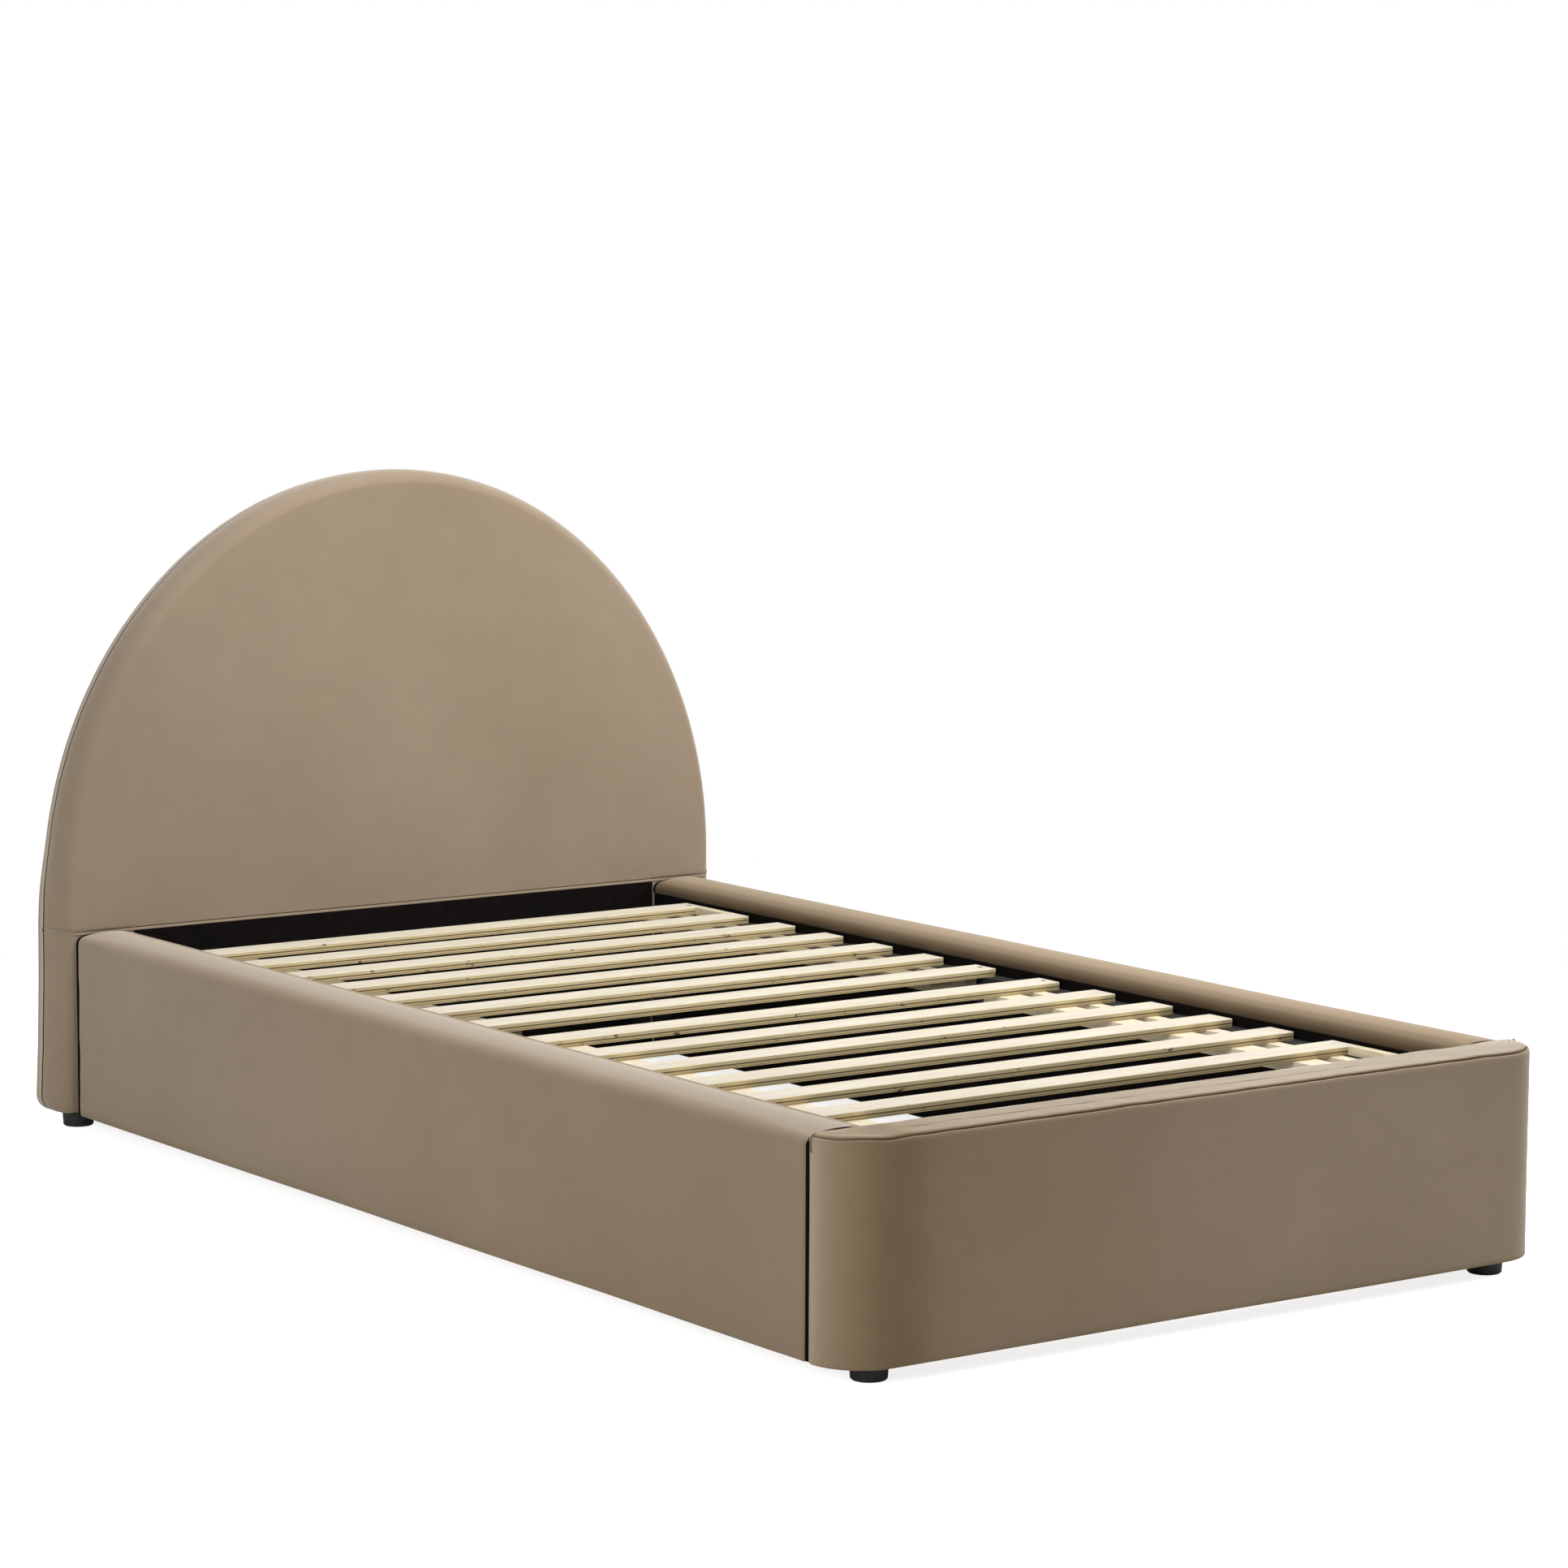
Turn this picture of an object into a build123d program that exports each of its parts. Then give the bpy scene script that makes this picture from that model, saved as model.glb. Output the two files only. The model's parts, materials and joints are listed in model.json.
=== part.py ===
from build123d import *
import os

# Upholstered single bed with an arched headboard. Millimetres, +Z up, headboard towards +Y.
# The origin is the middle of the bed's outline, on the floor.

# Driving sizes
mattress_width = 965.0
mattress_length = 1905.0
mattress_side_room = 8.5
mattress_end_room = 45.0
rail_thickness = 104.0
rail_height = 291.0
footboard_thickness = 85.0
headboard_thickness = 82.0
headboard_side_reach = 23.0
arch_spring_rise = 40.0
arch_height = 660.0
foot_height = 22.0

# Upholstery
cover_thickness = 2.0
foam_room = 0.3
fabric_turn_down = 24.0
cutting_overrun = 5.0

# Headboard
headboard_front_radius = 38.0
headboard_back_radius = 5.0
headboard_corner_radius = 28.0
headboard_edge_foam = 8.0
headboard_front_foam = 10.0
gusset_seam_inset = 12.0
frame_thickness = 22.0
frame_member_width = 60.0
frame_upright_spread = 560.0
face_board_thickness = 4.0
cross_board_side_inset = 30.0
cross_board_top_inset = 10.0

# Side rails
rail_crown = 8.0
rail_top_radius = 14.0
rail_end_radius = 11.0
rail_side_foam = 8.0
rail_top_foam = 32.0
board_thickness = 12.0
rail_block_length = 80.0
rail_block_count = 5

# Footboard
footboard_front_radius = 74.0
footboard_back_radius = 10.0
footboard_edge_radius = 9.0
footboard_side_foam = 10.0
footboard_top_foam = 30.0
footboard_seam_drop = 4.0
corner_block_width = 150.0
middle_block_width = 90.0

# Slat deck
slats_per_panel = 7
slat_width = 50.0
slat_thickness = 12.0
slat_recess = 27.0
slat_side_gap = 9.0
head_end_gap = 115.0
foot_end_gap = 52.0
panel_gap = 105.0
slat_edge_radius = 1.0
ledger_width = 30.0
ledger_height = 40.0
ledger_end_gap = 40.0
ledger_edge_radius = 3.0
outer_batten_width = 22.0
outer_batten_height = 22.0
inner_batten_width = 40.0
inner_batten_height = 16.0
batten_ledger_gap = 6.0
batten_spacing = 26.0
batten_overhang = 12.0
end_strip_width = 16.0

# Corner brackets and screws
bracket_rail_leg = 60.0
bracket_end_leg = 42.0
bracket_height = 140.0
bracket_thickness = 3.0
bracket_bend_radius = 4.0
bracket_bottom_rise = 40.0
bracket_screw_edge = 24.0
coach_screw_radius = 3.0
coach_screw_length = 45.0
coach_screw_head_radius = 6.5
coach_screw_head_height = 5.0
coach_screw_head_sides = 6
deck_screw_radius = 2.0
deck_screw_length = 34.0
deck_screw_head_radius = 4.0
deck_screw_end_inset = 11.0
ledger_screw_radius = 2.5
ledger_screw_length = 42.0
ledger_screw_head_radius = 4.5
ledger_screw_head_height = 3.0
ledger_screw_count = 6
ledger_screw_end_inset = 90.0
screw_room = 0.15
pilot_room = 0.4
hole_tip_room = 1.0
countersink_angle = 90.0
half_turn = 180.0

# Feet
foot_radius = 25.0
foot_tip_radius = 23.5
foot_edge_chamfer = 2.0
foot_recess_radius = 8.0
foot_recess_depth = 10.0
foot_screw_radius = 3.0
foot_screw_length = 42.0
foot_screw_head_radius = 6.0
foot_screw_head_height = 4.0
head_foot_side_inset = 22.0
head_foot_front_inset = 41.0
foot_foot_side_inset = 72.0
foot_foot_front_inset = 50.0

# Worked out from the sizes above
inner_width = mattress_width + 2 * mattress_side_room
inner_length = mattress_length + mattress_end_room
inner_half = inner_width / 2
rail_outer = inner_half + rail_thickness
bed_length = footboard_thickness + inner_length + headboard_thickness
head_back_y = bed_length / 2
head_face_y = head_back_y - headboard_thickness
foot_front_y = -bed_length / 2
foot_face_y = foot_front_y + footboard_thickness
underside_z = foot_height
rail_top_z = underside_z + rail_height
fabric_edge_z = rail_top_z - fabric_turn_down
headboard_half = rail_outer + headboard_side_reach
arch_spring_z = rail_top_z + arch_spring_rise
inner_layer = cover_thickness + foam_room

slat_top_z = rail_top_z - slat_recess
slat_under_z = slat_top_z - slat_thickness
slat_length = inner_width - 2 * slat_side_gap
panel_length = (inner_length - head_end_gap - foot_end_gap - panel_gap) / 2
slat_pitch = (panel_length - slat_width) / (slats_per_panel - 1)
head_panel_start = head_face_y - head_end_gap
foot_panel_start = head_panel_start - panel_length - panel_gap

from_bottom = (Align.CENTER, Align.CENTER, Align.MIN)
LEFT, RIGHT = -1, 1
HEAD, FOOT = 1, -1


def save(piece, name):
    """Label one finished piece and write it under the same name."""
    piece.label = name
    export_step(piece, f"parts/{name}.step")


def board(x_range, y_range, z_range, mode=Mode.ADD):
    """Add a plain board between two limits on each axis to the part being built."""
    low = [min(pair) for pair in (x_range, y_range, z_range)]
    high = [max(pair) for pair in (x_range, y_range, z_range)]
    size = [top - bottom for bottom, top in zip(low, high)]
    with Locations(tuple(low)):
        Box(*size, align=(Align.MIN, Align.MIN, Align.MIN), mode=mode)


def drill(planes, radius, depth):
    """Cut a blind hole from each plane, along its normal, in the part being built."""
    with Locations(*planes):
        Cylinder(radius, depth, align=from_bottom, mode=Mode.SUBTRACT)


os.makedirs("parts", exist_ok=True)


# Where the fasteners sit: each plane lies under a screw's head and faces into the wood

end_face_y = {HEAD: head_face_y, FOOT: foot_face_y}
bracket_bottom_z = underside_z + bracket_bottom_rise
bracket_screw_heights = [
    bracket_bottom_z + bracket_screw_edge,
    bracket_bottom_z + bracket_height - bracket_screw_edge,
]


def rail_screw_planes(side, end):
    """Places of the coach screws that go sideways into a rail."""
    x = side * (inner_half - bracket_thickness)
    y = end_face_y[end] - end * (bracket_rail_leg - bracket_screw_edge)
    return [Plane(origin=(x, y, z), z_dir=(side, 0, 0)) for z in bracket_screw_heights]


def end_screw_planes(side, end):
    """Places of the coach screws that go lengthwise into the headboard or footboard."""
    x = side * (inner_half - (bracket_end_leg + bracket_thickness) / 2)
    y = end_face_y[end] - end * bracket_thickness
    return [Plane(origin=(x, y, z), z_dir=(0, end, 0)) for z in bracket_screw_heights]


def ledger_screw_planes(side):
    """Places of the screws that hold a ledger to the inner board of its rail."""
    first = foot_face_y + ledger_screw_end_inset
    span = inner_length - 2 * ledger_screw_end_inset
    z = slat_under_z - ledger_height / 2
    x = side * (inner_half - ledger_width)
    step = span / (ledger_screw_count - 1)
    return [
        Plane(origin=(x, first + count * step, z), z_dir=(side, 0, 0))
        for count in range(ledger_screw_count)
    ]


head_foot_places = [
    (side * (rail_outer - head_foot_side_inset), head_face_y + head_foot_front_inset)
    for side in (LEFT, RIGHT)
]
foot_foot_places = [
    (side * (rail_outer - foot_foot_side_inset), foot_front_y + foot_foot_front_inset)
    for side in (LEFT, RIGHT)
]
head_foot_planes = [Plane(origin=(x, y, foot_recess_depth)) for x, y in head_foot_places]
foot_foot_planes = [Plane(origin=(x, y, foot_recess_depth)) for x, y in foot_foot_places]
end_screws = {
    end: end_screw_planes(LEFT, end) + end_screw_planes(RIGHT, end)
    for end in (HEAD, FOOT)
}
coach_hole_depth = coach_screw_length + hole_tip_room
coach_hole_radius = coach_screw_radius + screw_room
foot_hole_depth = foot_screw_length + hole_tip_room
foot_hole_radius = foot_screw_radius + screw_room
ledger_hole_depth = ledger_screw_length + hole_tip_room
ledger_hole_radius = ledger_screw_radius + screw_room


# Headboard

def arch_outline(inset, corner_radius):
    """Front view of the headboard: straight sides under half an ellipse."""
    half = headboard_half - inset
    bottom = underside_z + inset
    with BuildSketch() as outline:
        with BuildLine():
            EllipticalCenterArc(
                (0, arch_spring_z), half, arch_height - inset, start_angle=0, arc_size=half_turn
            )
            Polyline((-half, arch_spring_z), (-half, bottom), (half, bottom), (half, arch_spring_z))
        make_face()
        if corner_radius > 0:
            fillet(outline.vertices().group_by(Axis.Y)[0], radius=corner_radius)
    return outline.sketch


def headboard_body(inset):
    """Whole headboard, drawn in by inset on every side, with its padded front edge."""
    back = Plane.XZ.offset(-(head_back_y - inset))
    depth = headboard_thickness - 2 * inset
    corner_radius = headboard_corner_radius - inset
    corner_x = headboard_half - inset - corner_radius
    corner_z = underside_z + inset + corner_radius
    cut_size = corner_radius + cutting_overrun
    outline = arch_outline(inset, 0)
    with BuildPart() as body:
        with BuildSketch(back):
            add(outline)
        extrude(amount=depth)
        front_edges = body.edges().group_by(Axis.Y)[0].sort_by(Axis.Z)
        fillet(front_edges[1:], radius=headboard_front_radius - inset)
        back_edges = body.edges().group_by(Axis.Y)[-1].sort_by(Axis.Z)
        fillet(back_edges[1:], radius=headboard_back_radius - inset)
        with BuildSketch(back.offset(-cutting_overrun)):
            with Locations((corner_x, corner_z)):
                Rectangle(cut_size, cut_size, align=(Align.MIN, Align.MAX))
            with Locations((-corner_x, corner_z)):
                Rectangle(cut_size, cut_size, align=(Align.MAX, Align.MAX))
            with Locations((corner_x, corner_z), (-corner_x, corner_z)):
                Circle(corner_radius, mode=Mode.SUBTRACT)
        extrude(amount=depth + 2 * cutting_overrun, mode=Mode.SUBTRACT)
    return body.part


headboard_outer = headboard_body(0)
headboard_inner = headboard_body(cover_thickness)
headboard_padding = headboard_body(inner_layer)
gusset_seam_y = head_back_y - gusset_seam_inset
frame_front_y = head_back_y - cover_thickness - frame_thickness
face_board_front_y = frame_front_y - face_board_thickness
cross_board_front_y = head_face_y + cover_thickness + headboard_front_foam
cross_board_half = headboard_half - cross_board_side_inset
cross_board_top_z = rail_top_z - cross_board_top_inset
panel_bottom_z = underside_z + cover_thickness
frame_inset = cover_thickness + headboard_edge_foam

lining_window = (
    (-inner_half, inner_half),
    (head_face_y - cutting_overrun, head_face_y + cover_thickness),
    (underside_z + cover_thickness, rail_top_z),
)

with BuildPart() as headboard_front_cover:
    add(headboard_outer)
    add(headboard_inner, mode=Mode.SUBTRACT)
    split(bisect_by=Plane.XZ.offset(-gusset_seam_y), keep=Keep.TOP)
    split(bisect_by=Plane.XY.offset(rail_top_z), keep=Keep.TOP)
save(headboard_front_cover.part, "headboard_front_cover")

with BuildPart() as headboard_lower_cover:
    add(headboard_outer)
    add(headboard_inner, mode=Mode.SUBTRACT)
    split(bisect_by=Plane.XZ.offset(-gusset_seam_y), keep=Keep.TOP)
    split(bisect_by=Plane.XY.offset(rail_top_z), keep=Keep.BOTTOM)
    board(*lining_window, mode=Mode.SUBTRACT)
    drill(head_foot_planes, foot_hole_radius, foot_hole_depth)
save(headboard_lower_cover.part, "headboard_lower_cover")

with BuildPart() as headboard_back_cover:
    add(headboard_outer)
    add(headboard_inner, mode=Mode.SUBTRACT)
    split(bisect_by=Plane.XZ.offset(-gusset_seam_y), keep=Keep.BOTTOM)
save(headboard_back_cover.part, "headboard_back_cover")

with BuildPart() as headboard_lining:
    board(*lining_window)
    add(headboard_outer, mode=Mode.INTERSECT)
    drill(end_screws[HEAD], coach_hole_radius, coach_hole_depth)
save(headboard_lining.part, "headboard_lining")

frame_outline = arch_outline(frame_inset, headboard_corner_radius - frame_inset)
frame_window = arch_outline(frame_inset + frame_member_width, 0)
with BuildPart() as headboard_frame:
    with BuildSketch(Plane.XZ.offset(-(head_back_y - cover_thickness))):
        add(frame_outline)
    extrude(amount=frame_thickness)
    with BuildSketch(Plane.XZ.offset(-(head_back_y - cover_thickness))):
        add(frame_window)
        with GridLocations(frame_upright_spread, 0, 2, 1):
            Rectangle(frame_member_width, 2 * bed_length, mode=Mode.SUBTRACT)
        with Locations((0, rail_top_z)):
            Rectangle(2 * headboard_half, frame_member_width, mode=Mode.SUBTRACT)
    extrude(amount=frame_thickness, mode=Mode.SUBTRACT)
save(headboard_frame.part, "headboard_frame")

with BuildPart() as headboard_face_board:
    with BuildSketch(Plane.XZ.offset(-frame_front_y)):
        add(frame_outline)
    extrude(amount=face_board_thickness)
save(headboard_face_board.part, "headboard_face_board")

with BuildPart() as headboard_cross_board:
    board(
        (-cross_board_half, cross_board_half),
        (cross_board_front_y, face_board_front_y),
        (panel_bottom_z, cross_board_top_z),
    )
    drill(end_screws[HEAD], coach_hole_radius, coach_hole_depth)
    drill(head_foot_planes, foot_hole_radius, foot_hole_depth)
save(headboard_cross_board.part, "headboard_cross_board")

with BuildPart() as headboard_foam:
    add(headboard_padding)
    with BuildSketch(Plane.XZ.offset(-(head_back_y + cutting_overrun))):
        add(frame_outline)
    extrude(amount=head_back_y + cutting_overrun - face_board_front_y, mode=Mode.SUBTRACT)
    board(
        (-cross_board_half, cross_board_half),
        (cross_board_front_y, face_board_front_y + cutting_overrun),
        (underside_z - cutting_overrun, cross_board_top_z),
        mode=Mode.SUBTRACT,
    )
    drill(end_screws[HEAD], coach_hole_radius, coach_hole_depth)
save(headboard_foam.part, "headboard_foam")


# Side rails

def rail_body(side, inset):
    """Whole side rail, drawn in by inset, with its crowned top and soft ends."""
    inner_x = side * (inner_half + inset)
    outer_x = side * (rail_outer - inset)
    middle_x = (inner_x + outer_x) / 2
    top_z = rail_top_z - inset
    shoulder_z = top_z - rail_crown
    bottom_z = underside_z + inset
    with BuildPart() as body:
        with BuildSketch(Plane.XZ.offset(-(foot_face_y + inset))) as section:
            with BuildLine():
                ThreePointArc((inner_x, shoulder_z), (middle_x, top_z), (outer_x, shoulder_z))
                Line((outer_x, shoulder_z), (outer_x, bottom_z))
                Line((outer_x, bottom_z), (inner_x, bottom_z))
                Line((inner_x, bottom_z), (inner_x, shoulder_z))
            make_face()
            fillet(section.vertices().group_by(Axis.Y)[-1], radius=rail_top_radius - inset)
        extrude(amount=-(inner_length - 2 * inset))
        for end_edges in (body.edges().group_by(Axis.Y)[0], body.edges().group_by(Axis.Y)[-1]):
            fillet(end_edges.sort_by(Axis.Z)[1:], radius=rail_end_radius - inset)
    return body.part


def make_rail(side, name):
    """Make the boards, blocks, foam, cover, lining and ledger of one side rail."""
    outer = rail_body(side, 0)
    inner = rail_body(side, cover_thickness)
    padding = rail_body(side, inner_layer)
    long_range = (foot_face_y + rail_end_radius, head_face_y - rail_end_radius)
    board_top_z = rail_top_z - rail_top_foam
    board_heights = (panel_bottom_z, board_top_z)
    inner_board_edge = inner_half + cover_thickness
    inner_board_x = (side * inner_board_edge, side * (inner_board_edge + board_thickness))
    outer_board_edge = rail_outer - cover_thickness - rail_side_foam
    outer_board_x = (side * (outer_board_edge - board_thickness), side * outer_board_edge)
    screw_planes = rail_screw_planes(side, HEAD) + rail_screw_planes(side, FOOT)
    lining_zone = (
        (side * (inner_half - cutting_overrun), side * (inner_half + cover_thickness)),
        (foot_face_y - cutting_overrun, head_face_y + cutting_overrun),
        (underside_z + cover_thickness, fabric_edge_z),
    )

    with BuildPart() as cover:
        add(outer)
        add(inner, mode=Mode.SUBTRACT)
        board(*lining_zone, mode=Mode.SUBTRACT)
    save(cover.part, f"{name}_rail_cover")

    with BuildPart() as lining:
        add(outer)
        add(inner, mode=Mode.SUBTRACT)
        board(*lining_zone, mode=Mode.INTERSECT)
        drill(screw_planes, coach_hole_radius, coach_hole_depth)
        drill(ledger_screw_planes(side), ledger_hole_radius, ledger_hole_depth)
    save(lining.part, f"{name}_rail_lining")

    with BuildPart() as inner_board:
        board(inner_board_x, long_range, board_heights)
        drill(screw_planes, coach_hole_radius, coach_hole_depth)
        drill(ledger_screw_planes(side), ledger_hole_radius, ledger_hole_depth)
    save(inner_board.part, f"{name}_rail_inner_board")

    with BuildPart() as outer_board:
        board(outer_board_x, long_range, board_heights)
    save(outer_board.part, f"{name}_rail_outer_board")

    block_step = (long_range[1] - long_range[0] - rail_block_length) / (rail_block_count - 1)
    with BuildPart() as blocks:
        for count in range(rail_block_count):
            start = long_range[0] + count * block_step
            board((inner_board_x[1], outer_board_x[0]), (start, start + rail_block_length), board_heights)
        drill(screw_planes, coach_hole_radius, coach_hole_depth)
    save(blocks.part, f"{name}_rail_blocks")

    with BuildPart() as foam:
        add(padding)
        board(
            (side * (inner_half - cutting_overrun), side * outer_board_edge),
            long_range,
            (underside_z - cutting_overrun, board_top_z),
            mode=Mode.SUBTRACT,
        )
    save(foam.part, f"{name}_rail_foam")

    with BuildPart() as ledger:
        board(
            (side * (inner_half - ledger_width), side * inner_half),
            (foot_face_y + ledger_end_gap, head_face_y - ledger_end_gap),
            (slat_under_z - ledger_height, slat_under_z),
        )
        fillet(ledger.edges().filter_by(Axis.Z), radius=ledger_edge_radius)
        drill(ledger_screw_planes(side), ledger_hole_radius, ledger_hole_depth)
        drill(deck_screw_planes(side), deck_screw_radius + pilot_room, deck_screw_length + hole_tip_room)
    save(ledger.part, f"{name}_ledger")


# Slat deck: where the slats lie and which of them carry the corner screws

def slat_centres(panel_start):
    """Lengthwise places of a panel's slats, from its head end."""
    first = panel_start - slat_width / 2
    return [first - count * slat_pitch for count in range(slats_per_panel)]


panel_slats = {"head": slat_centres(head_panel_start), "foot": slat_centres(foot_panel_start)}


def deck_screw_planes(side, panels=("head", "foot")):
    """Places of the screws through the end slats of each panel, on one side."""
    x = side * (slat_length / 2 - deck_screw_end_inset)
    centres = [panel_slats[panel][end] for panel in panels for end in (0, -1)]
    return [Plane(origin=(x, y, slat_top_z), x_dir=(1, 0, 0), z_dir=(0, 0, -1)) for y in centres]


make_rail(LEFT, "left")
make_rail(RIGHT, "right")


# Footboard

def footboard_outline(inset, front_radius, back_radius):
    """Plan view of the footboard: straight back, large rounded front corners."""
    half = rail_outer - inset
    front = foot_front_y + inset
    back = foot_face_y - min(inset, inner_layer)
    with BuildSketch() as outline:
        with BuildLine():
            Polyline((-half, front), (half, front), (half, back), (-half, back), close=True)
        make_face()
        fillet(outline.vertices().group_by(Axis.Y)[0], radius=front_radius)
        if back_radius > 0:
            fillet(outline.vertices().group_by(Axis.Y)[-1], radius=back_radius)
    return outline.sketch


def footboard_body(inset):
    """Whole footboard, drawn in by inset, with softened edges above and below."""
    outline = footboard_outline(inset, footboard_front_radius - inset, footboard_back_radius - inset)
    with BuildPart() as body:
        with BuildSketch(Plane.XY.offset(underside_z + inset)):
            add(outline)
        extrude(amount=rail_height - 2 * inset)
        for rim in (body.edges().group_by(Axis.Z)[0], body.edges().group_by(Axis.Z)[-1]):
            fillet(rim, radius=footboard_edge_radius - inset)
    return body.part


footboard_outer = footboard_body(0)
footboard_inner = footboard_body(cover_thickness)
footboard_padding = footboard_body(inner_layer)
footboard_seam_z = rail_top_z - footboard_seam_drop
footboard_core_inset = cover_thickness + footboard_side_foam
footboard_core_top_z = rail_top_z - footboard_top_foam
footboard_core_bottom_z = underside_z + inner_layer
footboard_inner_board_front_y = foot_face_y - inner_layer - board_thickness
footboard_core_front_y = foot_front_y + footboard_core_inset
footboard_core_half = rail_outer - footboard_core_inset
footboard_front_board_half = footboard_core_half - corner_block_width
footboard_core_radius = footboard_front_radius - footboard_core_inset
footboard_core_outline = footboard_outline(footboard_core_inset, footboard_core_radius, 0)
footboard_back_zone = (
    (-inner_half, inner_half),
    (foot_face_y - cover_thickness, foot_face_y + cutting_overrun),
    (underside_z + footboard_edge_radius, fabric_edge_z),
)
footboard_back_strip = (
    (-rail_outer - cutting_overrun, rail_outer + cutting_overrun),
    (foot_face_y - footboard_back_radius, foot_face_y + cutting_overrun),
    (fabric_edge_z, footboard_seam_z),
)
footboard_top_zone = (
    (-rail_outer - cutting_overrun, rail_outer + cutting_overrun),
    (foot_front_y - cutting_overrun, foot_face_y + cutting_overrun),
    (footboard_seam_z, rail_top_z + cutting_overrun),
)

with BuildPart() as footboard_cover:
    add(footboard_outer)
    add(footboard_inner, mode=Mode.SUBTRACT)
    board(*footboard_top_zone, mode=Mode.SUBTRACT)
    board(*footboard_back_strip, mode=Mode.SUBTRACT)
    board(*footboard_back_zone, mode=Mode.SUBTRACT)
    drill(foot_foot_planes, foot_hole_radius, foot_hole_depth)
save(footboard_cover.part, "footboard_cover")

with BuildPart() as footboard_top_band:
    board(*footboard_top_zone)
    board(*footboard_back_strip)
    add(footboard_outer, mode=Mode.INTERSECT)
    add(footboard_inner, mode=Mode.SUBTRACT)
save(footboard_top_band.part, "footboard_top_band")

with BuildPart() as footboard_lining:
    board(*footboard_back_zone)
    add(footboard_outer, mode=Mode.INTERSECT)
    drill(end_screws[FOOT], coach_hole_radius, coach_hole_depth)
save(footboard_lining.part, "footboard_lining")

with BuildPart() as footboard_foam:
    add(footboard_padding)
    with BuildSketch(Plane.XY.offset(underside_z - cutting_overrun)):
        add(footboard_core_outline)
    extrude(amount=footboard_core_top_z - underside_z + cutting_overrun, mode=Mode.SUBTRACT)
save(footboard_foam.part, "footboard_foam")

with BuildPart() as footboard_inner_board:
    with BuildSketch(Plane.XY.offset(underside_z + footboard_edge_radius)):
        add(footboard_core_outline)
    extrude(amount=footboard_core_top_z - underside_z - footboard_edge_radius)
    board(
        (-rail_outer, rail_outer),
        (footboard_inner_board_front_y, foot_face_y),
        (underside_z, rail_top_z),
        mode=Mode.INTERSECT,
    )
    drill(end_screws[FOOT], coach_hole_radius, coach_hole_depth)
save(footboard_inner_board.part, "footboard_inner_board")

with BuildPart() as footboard_corner_blocks:
    with BuildSketch(Plane.XY.offset(footboard_core_bottom_z)):
        add(footboard_core_outline)
        Rectangle(2 * footboard_front_board_half, 2 * bed_length, mode=Mode.SUBTRACT)
    extrude(amount=footboard_core_top_z - footboard_core_bottom_z)
    board(
        (-rail_outer, rail_outer),
        (footboard_inner_board_front_y, foot_face_y),
        (underside_z, rail_top_z),
        mode=Mode.SUBTRACT,
    )
    drill(end_screws[FOOT], coach_hole_radius, coach_hole_depth)
    drill(foot_foot_planes, foot_hole_radius, foot_hole_depth)
save(footboard_corner_blocks.part, "footboard_corner_blocks")

with BuildPart() as footboard_front_board:
    board(
        (-footboard_front_board_half, footboard_front_board_half),
        (footboard_core_front_y, footboard_core_front_y + board_thickness),
        (footboard_core_bottom_z, footboard_core_top_z),
    )
save(footboard_front_board.part, "footboard_front_board")

with BuildPart() as footboard_middle_block:
    board(
        (-middle_block_width / 2, middle_block_width / 2),
        (footboard_core_front_y + board_thickness, footboard_inner_board_front_y),
        (footboard_core_bottom_z, footboard_core_top_z),
    )
save(footboard_middle_block.part, "footboard_middle_block")


# Corner brackets and their coach screws

def bracket(side, end):
    """One folded steel angle in an inside corner, with its four screw holes."""
    corner_x = side * inner_half
    corner_y = end_face_y[end]
    z_range = (bracket_bottom_z, bracket_bottom_z + bracket_height)
    inner_edge = (corner_x - side * bracket_thickness, corner_y - end * bracket_thickness)
    with BuildPart() as angle:
        board((corner_x, inner_edge[0]), (corner_y, corner_y - end * bracket_rail_leg), z_range)
        board((corner_x, corner_x - side * bracket_end_leg), (corner_y, inner_edge[1]), z_range)
        middle_z = bracket_bottom_z + bracket_height / 2
        inside = angle.edges().filter_by(Axis.Z).sort_by_distance((*inner_edge, middle_z))[0]
        fillet(inside, radius=bracket_bend_radius)
        outside = angle.edges().filter_by(Axis.Z).sort_by_distance((corner_x, corner_y, middle_z))[0]
        fillet(outside, radius=bracket_bend_radius + bracket_thickness)
        for planes in (rail_screw_planes(side, end), end_screw_planes(side, end)):
            drill(planes, coach_hole_radius, coach_hole_depth)
    return angle.part


for end, end_name in ((HEAD, "head"), (FOOT, "foot")):
    pair = [bracket(side, end) for side in (LEFT, RIGHT)]
    with BuildPart() as brackets:
        add(pair)
    save(brackets.part, f"{end_name}_corner_brackets")

    with BuildPart() as coach_screws:
        for side in (LEFT, RIGHT):
            for plane in rail_screw_planes(side, end) + end_screw_planes(side, end):
                with BuildSketch(plane):
                    Circle(coach_screw_radius)
                extrude(amount=coach_screw_length)
                with BuildSketch(plane):
                    RegularPolygon(coach_screw_head_radius, coach_screw_head_sides)
                extrude(amount=-coach_screw_head_height)
    save(coach_screws.part, f"{end_name}_corner_screws")

with BuildPart() as ledger_screws:
    for side in (LEFT, RIGHT):
        for plane in ledger_screw_planes(side):
            with BuildSketch(plane):
                Circle(ledger_screw_radius)
            extrude(amount=ledger_screw_length)
            with BuildSketch(plane):
                Circle(ledger_screw_head_radius)
            extrude(amount=-ledger_screw_head_height)
save(ledger_screws.part, "ledger_screws")


# Feet

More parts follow.
